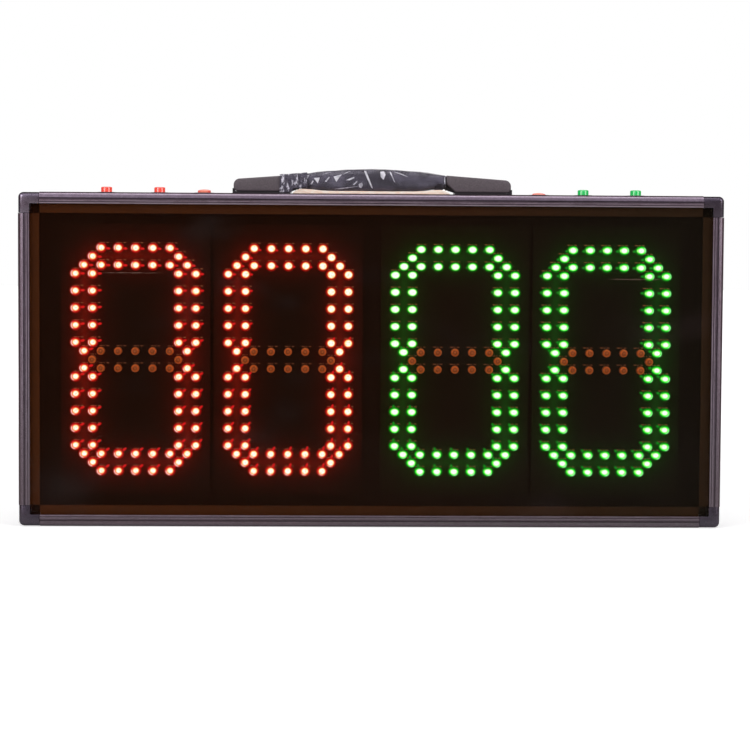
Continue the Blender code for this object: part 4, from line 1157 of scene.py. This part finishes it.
def makeRockers(blackLook):
    litLook = makeLitRocker()
    half, skirt, dip, radius = pick(rocker, "skirtHalf skirt dip radius")
    reach = radius + mm
    bend = (reach ** 2 + dip ** 2) / (2 * dip)
    swing = math.degrees(math.asin(reach / bend))
    for name, side in (("left", -1), ("right", 1)):
        x, rise = side * rocker["x"], rocker["rises"][name]
        makeHousing(name, x, blackLook)
        body = drum(f"rocker_{name}_paddle", radius, -skirt, rise, 48)
        outline = arc((0, rise + bend - dip), bend, 270 - swing, 270 + swing, 12)
        outline += [(reach, 0), (half, -skirt), (-half, -skirt), (-reach, 0)]
        seesaw = slab("seesaw", [(-reach, y, z) for y, z in outline], 2 * reach, 0, 0)
        cut(body, seesaw, operation="INTERSECT")
        soften(body, rocker["edge"], 5, 40)
        put(body, (x, rocker["y"], top + rocker["pivot"]), (rocker["turn"], 0, 0))
        fit(shadeBy(body), "power_rocker_" + name, "lit_rocker", litLook, f"rocker_{name}")


blackPlastic = mottled("blackPlastic", (0.018, 0.017, 0.019), 0.4, (1800, 3),
                       ((0.012, 0.011, 0.012), (0.030, 0.028, 0.031)), gloss=(0.32, 0.5),
                       bump=(0.03 * mm, 0.5))
makeButtons(blackPlastic)
makeRockers(blackPlastic)
print("controls made")


# Carry handle

handle = inMm({
    "half": 71.2, "gripTop": 23.5, "arch": 452, "bottom": 3.2, "underRise": 2.3, "underStart": 39.4,
    "underEnd": 65.4, "wide": 13, "endWide": 11.5, "round": 5.7, "edge": 0.5,
    "fork": (7.2, 8, -2, 12.1),  # in from the end, out past it, lowest and highest
    "forkGap": 0.3, "facetX": 66.2, "facetZ": 15.2, "facetLong": 10, "facetDeep": 1.2, "pivotX": 67.4,
    "pivotZ": 8.6, "pinHole": (1.8, -20, 20), "linkWide": 14,
})


def gripForm(name, left, right, count, grow, segments):
    sections = []
    for i in range(count + 1):
        x = left + (right - left) * i / count
        share = (abs(x) - handle["underStart"]) / (handle["underEnd"] - handle["underStart"])
        share = min(max(share, 0.0), 1.0)
        low = top + handle["bottom"] + handle["underRise"] * share * share * (3 - 2 * share) - grow
        high = top + handle["gripTop"] - handle["arch"] + math.sqrt(handle["arch"] ** 2 - x * x) + grow
        wide = handle["wide"] + (x / handle["half"]) ** 2 * (handle["endWide"] - handle["wide"]) + grow
        sections.append((x, (low + high) / 2, wide, (high - low) / 2))
    return loft(name, sections, handle["round"], segments)


def pinHole(side):
    place = (side * handle["pivotX"], 0, top + handle["pivotZ"])
    return put(drum("bore", *handle["pinHole"], 24), place, (quarter, 0, 0))


def makeGripLook():
    look = newLook("gripLook", (0.030, 0.026, 0.032), 0.45, Specular_IOR_Level=0.35)
    broad = noise(60, 3, 0.5, (0.4, 1, 1))
    paint(ease(broad, 0.3, 0.7), (0.032, 0.028, 0.034), (0.052, 0.047, 0.056))
    varyGloss(broad, 0.36, 0.52)
    roughen(noise(1500, 4, 0.6), 0.05 * mm, 0.6)
    return look


def makeGrip(look):
    half, forkHalf = handle["half"], handle["linkWide"] / 2 + handle["forkGap"]
    inner, outer, low, high = handle["fork"]
    x, z, long, deep = pick(handle, "facetX facetZ facetLong facetDeep")
    wedge = ((x, z), (x + long, z), (x + long, z - long))
    obj = soften(gripForm("gripMoulding", -half, half, 32, 0.0, 6), handle["edge"], 2, 50)
    for side in (-1, 1):
        near, far = sorted((side * (half - inner), side * (half + outer)))
        fork = block("fork", (near, -forkHalf, top + low), (far, forkHalf, top + high))
        cut(obj, soften(fork, 0.4 * mm, 2), pinHole(side))
        for flank in (-1, 1):
            line = [(side * px, flank * handle["endWide"] - deep, top + pz) for px, pz in wedge]
            cut(obj, slab("facet", line, 0, 2 * deep, 0))
    fit(shadeBy(obj), "grip", "grip_plastic", look, "handle_grip")


film = inMm({
    "left": -70.6, "right": 70.6, "grow": 0.40, "wrinkle": 1.3, "thick": 0.10, "openFrom": 60,
    "flap": ((-63.0, 6.8, 20.0), (-69.5, 5.4, 19.3), (-76.5, 5.0, 19.0), (-78.5, 1.3, 18.8),
             (-84.0, 1.2, 18.4), (-89.5, 1.3, 18.0)),  # x, lower edge and crown above the case
    "bunch": ((71.1, 10.4), (71.1, 12.4), (66.0, 12.8), (61.5, 9.0), (60.0, 3.6), (64.0, 3.3), (68.5, 4.6)),
    "bunchFrom": -12.3, "bunchDeep": 3.8,
    "glints": (  # corners of each bright fold, x and height above the case
        ((-56.7, 15.1), (-50.9, 15.6), (-52.8, 9.8)),
        ((-37.7, 16.6), (-29.6, 18.7), (-33.0, 14.5), (-34.9, 11.3)),
        ((-29.6, 18.2), (-25.0, 21.0), (-20.8, 22.2), (-25.0, 20.2)),
        ((-8.4, 22.4), (-6.2, 22.4), (-2.8, 13.5), (0.4, 5.4), (-1.0, 6.0), (-5.2, 14.5)),
        ((-13.4, 9.6), (-10.2, 11.0), (-9.2, 8.0), (-11.0, 5.8), (-13.0, 6.6)),
        ((-36.8, 4.6), (-25.0, 6.3), (-13.6, 7.4), (-25.0, 5.4)),
        ((7.4, 21.6), (11.2, 22.0), (12.5, 18.5), (10.6, 13.6), (7.8, 16.5)),
        ((16.2, 21.6), (17.5, 21.8), (21.8, 11.2), (20.6, 12.2)),
        ((20.5, 21.7), (28.0, 19.7), (34.9, 16.3), (27.5, 18.9)),
        ((-70.0, 16.6), (-61.0, 18.2), (-63.0, 14.2), (-69.5, 12.8)),
        ((-48.5, 18.6), (-44.0, 20.2), (-40.5, 20.6), (-44.5, 19.6)),
        ((-46.0, 12.0), (-42.0, 16.5), (-41.2, 15.6), (-44.6, 11.4)),
        ((-26.0, 13.2), (-18.0, 16.4), (-17.4, 15.2), (-22.0, 13.0)),
        ((-19.0, 9.0), (-15.2, 12.6), (-14.6, 11.6), (-17.6, 8.6)),
        ((-60.0, 9.5), (-57.6, 12.8), (-56.8, 12.0), (-58.8, 8.8)),
        ((69.3, 18.6), (70.3, 18.4), (70.3, 9.5), (69.5, 11.0)),
    ),
    "rollHalf": 2.4, "rollFrom": 10.1, "rollFloor": 0.2,
    "roll": ((-77.0, 0.6), (-74.5, 2.6), (-70.5, 4.3), (-65.0, 4.5), (-58.0, 3.9), (-50.0, 3.0), (-40.0, 2.6),
             (-15.0, 2.7), (10.0, 2.5), (38.0, 2.6), (50.0, 3.0), (58.0, 3.9), (65.0, 4.5), (70.5, 3.4),
             (75.0, 0.6)),  # x and thickness
})
film.update({
    "flapSide": ((14.6, 0.0), (14.6, 0.25), (14.6, 0.5), (14.6, 0.75), (14.3, 0.92), (12.8, 1.0), (6.0, 1.0)),
})


def makeFilmLook():
    look = newLook("filmClear", (0.03, 0.028, 0.034), 0.10, IOR=1.45)
    # the lilac patches are painted sheen, and the film is painted more opaque and lighter towards the left,
    # also painted sheen
    broad = noise(70, 2, 0.5)
    left = ease(axes()[0], 20 * mm, -50 * mm, 0, 0.16)
    paint(broad, (0.05, 0.045, 0.06), (0.26, 0.235, 0.32))
    feed("Alpha", plus(ease(broad, 0.40, 0.64, 0.18, 0.46), left))
    varyGloss(broad, 0.07, 0.16)
    return look


def makeFlapLook():
    look = newLook("filmFlap", (0.60, 0.57, 0.70), 0.14, IOR=1.8)
    # the pale streaks are painted highlights on the folds, with darker film between
    folds = ease(noise(300, 3, 0.65, (1.0, 1, 0.45)), 0.49, 0.66)
    paint(folds, (0.10, 0.09, 0.13), (0.86, 0.82, 0.94))
    feed("Alpha", ease(folds, 0, 1, 0.55, 0.92))
    roughen(folds, 0.3 * mm, 0.6)
    return look


def makeGlintLook():
    look = newLook("filmGlint", (0.82, 0.80, 0.90), 0.22, IOR=1.6)
    broad = noise(160, 2, 0.5)
    paint(broad, (0.66, 0.63, 0.74), (0.95, 0.93, 0.98))
    feed("Alpha", ease(broad, 0.35, 0.60, 0.40, 0.88))
    return look


def crinkle(obj, scale, strength, level):
    folds = bpy.data.textures.new("folds", "CLOUDS")
    folds.noise_scale = scale
    folds.noise_depth = 1
    run(obj, "DISPLACE", texture=folds, strength=strength, mid_level=level, texture_coords="LOCAL")


def thicken(obj):
    return run(obj, "SOLIDIFY", thickness=film["thick"], offset=0)


def fitFilm(obj, look):
    fit(obj, "grip", "clear_film", look, "handle_film")


def makeGlints(sleeve):
    made = []
    for points in film["glints"]:
        fold = drawLine("glint", sideOn(points, -30 * mm), True)
        makeTriangles("BEAUTY")
        cutUp(3)
        closeUp()
        run(fold, "SHRINKWRAP", target=sleeve, wrap_method="PROJECT", use_project_y=True,
            use_positive_direction=True, offset=0.25 * mm)
        made.append(thicken(fold))
    front = join("filmGlints", made)
    return join("filmGlints", [front, copyOf(front, "filmGlintsBack", stance((0, 0, 0), 180, "Z"))])


def makeFilm():
    left, right, start = film["left"], film["right"], film["openFrom"]
    obj = gripForm("filmSleeve", left, right, 16, film["grow"], 3)
    openUp(obj)
    grab(obj, "FACE", lambda c, n: abs(n.x) > 0.99 and min(abs(c.x - left), abs(c.x - right)) < 0.1 * mm)
    bpy.ops.mesh.delete(type="ONLY_FACE")
    grab(obj, "FACE", lambda c, n: n.z < -0.6 and abs(c.x) > start)
    bpy.ops.mesh.delete(type="FACE")
    makeTriangles("FIXED")
    closeUp()
    crinkle(obj, 11 * mm, film["wrinkle"], 0.32)
    glints = makeGlints(obj)
    takeUp(thicken(obj))
    bpy.ops.object.shade_flat()
    fitFilm(obj, makeFilmLook())
    fitFilm(glints, makeGlintLook())


def makeFlap():
    (x, low, crown), *stations = film["flap"]
    near = [(-y * mm, low + share * (crown - low)) for y, share in film["flapSide"]]
    line = near + [(0, crown)] + [(-y, z) for y, z in reversed(near)]
    obj = drawLine("filmFlap", [(x, y, top + z) for y, z in line], False)
    grabAll()
    for nextX, nextLow, nextCrown in stations:
        pull(nextX - x, 0, nextCrown - crown)
        resize((1, 1, (nextCrown - nextLow) / (crown - low)), (nextX, 0, top + nextCrown))
        x, low, crown = nextX, nextLow, nextCrown
    cutUp(1)
    makeTriangles("FIXED")
    weldUp()
    crinkle(obj, 6 * mm, 0.9 * mm, 0.15)
    takeUp(thicken(obj))
    bpy.ops.object.shade_flat()
    fitFilm(obj, makeFlapLook())


def makeBunches():
    look = mottled("bunchedFilm", (0.03, 0.026, 0.032), 0.30, (420, 3, 0.6),
                   ((0.016, 0.013, 0.016), (0.16, 0.14, 0.17)), span=(0.50, 0.70))
    obj = slab("bunch", sideOn(film["bunch"], film["bunchFrom"]), 0, film["bunchDeep"], 0)
    openUp(obj)
    makeTriangles("BEAUTY")
    cutUp(3)
    closeUp()
    crinkle(obj, 3 * mm, -0.8 * mm, 0.2)
    for i, scale in enumerate(((1, 1), (1, -1), (-1, 1), (-1, -1))):
        fitFilm(shadeBy(copyOf(obj, f"filmBunch{i}", Matrix.Diagonal((*scale, 1, 1))), 50), look)
    bpy.data.objects.remove(obj)


def makeRolls():
    look = mottled("rolledFilm", (0.88, 0.70, 0.58), 0.32, (260, 3, 0.6, (0.5, 1, 2.2)),
                   ((0.86, 0.68, 0.55), (0.99, 0.91, 0.83)), span=(0.36, 0.62), bump=(0.4 * mm, 0.6))
    # painted glow: the film is no lamp, the glow brightens it
    glow((0.20, 0.145, 0.11))
    half, low = film["rollHalf"], top + film["rollFloor"]
    obj = loft("filmRoll", [(x, low + tall / 2, half, tall / 2) for x, tall in film["roll"]], 0.2 * mm, 2)
    openUp(obj)
    cutUp(2)
    closeUp()
    soften(obj, 0.4 * mm, 2, 60)
    crinkle(obj, 5 * mm, -0.35 * mm, 0.1)
    for name, side in (("Front", -1), ("Back", 1)):
        piece = copyOf(obj, "filmRoll" + name, stance((0, side * film["rollFrom"], 0)))
        fit(shadeBy(piece, 50), "case", "clear_film", look)
    bpy.data.objects.remove(obj)


cap = inMm({
    "inner": 71.6, "outer": 133.9, "half": 14, "innerTop": 18.3, "outerTop": 13.7, "topRadius": 6.0,
    "foot": 2.0, "footRadius": 4, "lip": 10.8, "wall": 2, "round": 1.7,
    "over": 2,  # how far the cutters reach past the cap
    "mouth": (92.5, 11.5, 20),  # its end, lowest and highest
    "mouthGap": 0.6,
})


def makeGrained():
    look = newLook("grainedPlastic", (0.085, 0.070, 0.078), 0.62)
    grain = noise(1400, 4, 0.7)
    paint(ease(grain, 0.35, 0.7), (0.086, 0.068, 0.077), (0.155, 0.125, 0.140))
    varyGloss(grain, 0.52, 0.72)
    roughen(plus(grain, cells(1100.0)), 0.08 * mm, 0.7)
    return look


def capTop(inset):
    slope = (cap["innerTop"] - cap["outerTop"]) / (cap["outer"] - cap["inner"])
    bend = cap["outer"] - cap["topRadius"]
    drop = cap["innerTop"] - slope * (bend - cap["inner"]) - cap["topRadius"]
    return arc((bend, drop), cap["topRadius"] - inset, 0, 90, 8)


def makeCaps(look):
    inner, innerTop, foot, lip, half = pick(cap, "inner innerTop foot lip half")
    wall, over, footRadius = pick(cap, "wall over footRadius")
    footCentre = (cap["outer"] - footRadius, foot + footRadius)
    outline = [(inner, innerTop), (inner, lip), (inner + lip - foot, foot)]
    outline += arc(footCentre, footRadius, 270, 360, 7) + capTop(0.0)
    body = slab("capBody", sideOn(outline, -half), 0, 2 * half, 0)
    bevelEdges(body, lambda c, d: abs(abs(c.y) - half) < hair and c.x > inner + 0.1 * mm, cap["round"], 4)
    inside = [(inner - over, innerTop - wall), (inner - over, foot - over), (footCentre[0], foot - over)]
    inside += arc(footCentre, footRadius - wall, 270, 360) + capTop(wall)
    cavity = slab("cavity", sideOn(inside, -half + wall), 0, 2 * (half - wall), 0)
    mouthHalf, (end, low, high) = handle["linkWide"] / 2 + cap["mouthGap"], cap["mouth"]
    mouth = block("mouth", (inner - over, -mouthHalf, top + low), (end, mouthHalf, top + high))
    bevelEdges(mouth, lambda c, d: abs(d.z) > 0.9 and c.x > 90 * mm, 2 * mm, 4)
    soften(cut(body, cavity, mouth), 0.25 * mm, 2, 50)
    fitPair(body, "cap", "case", "grained_plastic", look, "handle_cap_{}")


link = inMm({
    "knuckle": 3.0, "thick": 2.3, "foot": 2.0, "lowest": 1.8, "neckEnd": 79, "end": 118, "ribDrop": 1.4,
    "post": 103, "slotHalf": 3.85, "slide": 5.0,
    "slot": (-5, 12),  # lowest and highest
})
link.update({
    "ribs": 3,
})


def makeLinks(look):
    knuckle, neckEnd, floor, end, ribs = pick(link, "knuckle neckEnd foot end ribs")
    x0, z0, half = handle["pivotX"], handle["pivotZ"], handle["linkWide"] / 2
    neck, crown = neckEnd - x0 - knuckle, floor + link["thick"]
    outline = [(end, crown), (neckEnd, crown), *arc((x0, z0), knuckle, 60, 290, 16)]
    for i in range(ribs):
        x, share = x0 + knuckle + i * neck / ribs, i / ribs
        z, drop = (z0 - knuckle) * (1 - share) + floor * share, link["ribDrop"] * (1 - share)
        outline += [(x, z), (x + neck * 0.12, z - drop), (x + neck * 0.22, z - drop)]
    outline += [(neckEnd, floor), (end, floor)]
    body = slab("linkBody", [(x, -half, top + max(z, link["lowest"])) for x, z in outline], 0, 2 * half, 0)
    soften(body, 0.3 * mm, 2, 30)
    slotHalf, (low, high) = link["slotHalf"], link["slot"]
    slot = block("slot", (link["post"] - slotHalf, -slotHalf, top + low),
                 (link["post"] + slotHalf + link["slide"], slotHalf, top + high))
    bevelEdges(slot, lambda c, d: abs(d.z) > 0.9, 2.5 * mm, 5)
    cut(body, slot, pinHole(1))
    fitPair(body, "link", "link_{}", "black_plastic", look, "handle_link_{}")


socket = {  # in mm
    "bezel": ((0, -9.5), (3.3, -9.5), (3.3, 1.2), (3.6, 1.5)),
    "flange": (7.0, 1, 0.5),  # centre and radius of its edge
    "seat": ((7.5, 0.3), (5.7, 0.3)),
    "thread": (5.7, -2.9, 0.9, 8),  # radius, start, pitch and turns
    "tail": ((5.7, -11), (5.7, -16.3), (0, -16.3)),
    "pin": ((0, 0.2), (0.6, 0), (0.8, -0.3), (0.8, -11), (0, -11)),
}


def makeSocket(look):
    x, y, radius = socket["flange"]
    profile = [*socket["bezel"], *arc((x, y), radius, 90, 0, 4), *socket["seat"], *thread(*socket["thread"])]
    body = turned("socketShell", inMm([*profile, *socket["tail"]]))
    cut(body, turned("pin", inMm(socket["pin"]), steps=20), operation="UNION")
    x, z = panel["socket"]
    put(body, (x, panel["back"], z), (-quarter, 0, 0))
    fit(shadeBy(body), "case", "black_plastic", look, "charge_socket")


makeGrip(makeGripLook())
makeFilm()
makeFlap()
makeBunches()
makeRolls()
makeCaps(makeGrained())
makeLinks(blackPlastic)
makeSocket(blackPlastic)
print("handle and socket made")


# Pieces inside the closed case, and small ones as packed, with a finish each

def makeGreenBoard():
    look = newLook("greenBoard", (0.01, 0.09, 0.03), 0.35)
    paint(ease(noise(300, 1, 0.5, (1, 1, 0.2)), 0.5, 0.52), (0.006, 0.055, 0.020), (0.014, 0.11, 0.035))
    roughen(cells(160.0, "Brick"), 0.03 * mm, 0.4)
    return look


def finishNodes():
    zinc = ["battery_clamp", "charge_socket_nut"] + [f"button_{name}_nut" for name in button["places"]]
    black = []
    for side in ("left", "right"):
        zinc += [f"handle_screw_{side}", f"handle_backing_{side}"]
        black += [f"handle_base_{side}", f"handle_pin_{side}"]
    tray = mottled("trayBlack", (0.004, 0.003, 0.003), 0.6, (30, 3, 0.5),
                   ((0.003, 0.0018, 0.0012), (0.007, 0.0045, 0.003)), gloss=(0.5, 0.7),
                   Specular_IOR_Level=0.0)
    wrap = mottled("cellWrap", (0.02, 0.08, 0.35), 0.3, (420, 4, 0.6, (0.3, 1, 1)),
                   ((0.012, 0.055, 0.26), (0.03, 0.11, 0.42)), bump=(0.15 * mm, 0.7))
    for look, nodes in ((tray, ["display_tray"]), (makeGreenBoard(), ["control_board"]),
                        (wrap, ["battery_pack"]), (zincLook, zinc), (blackPlastic, black)):
        for node in nodes:
            dress(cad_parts[node], look)


finishNodes()
print("inner pieces finished")

dropAll()
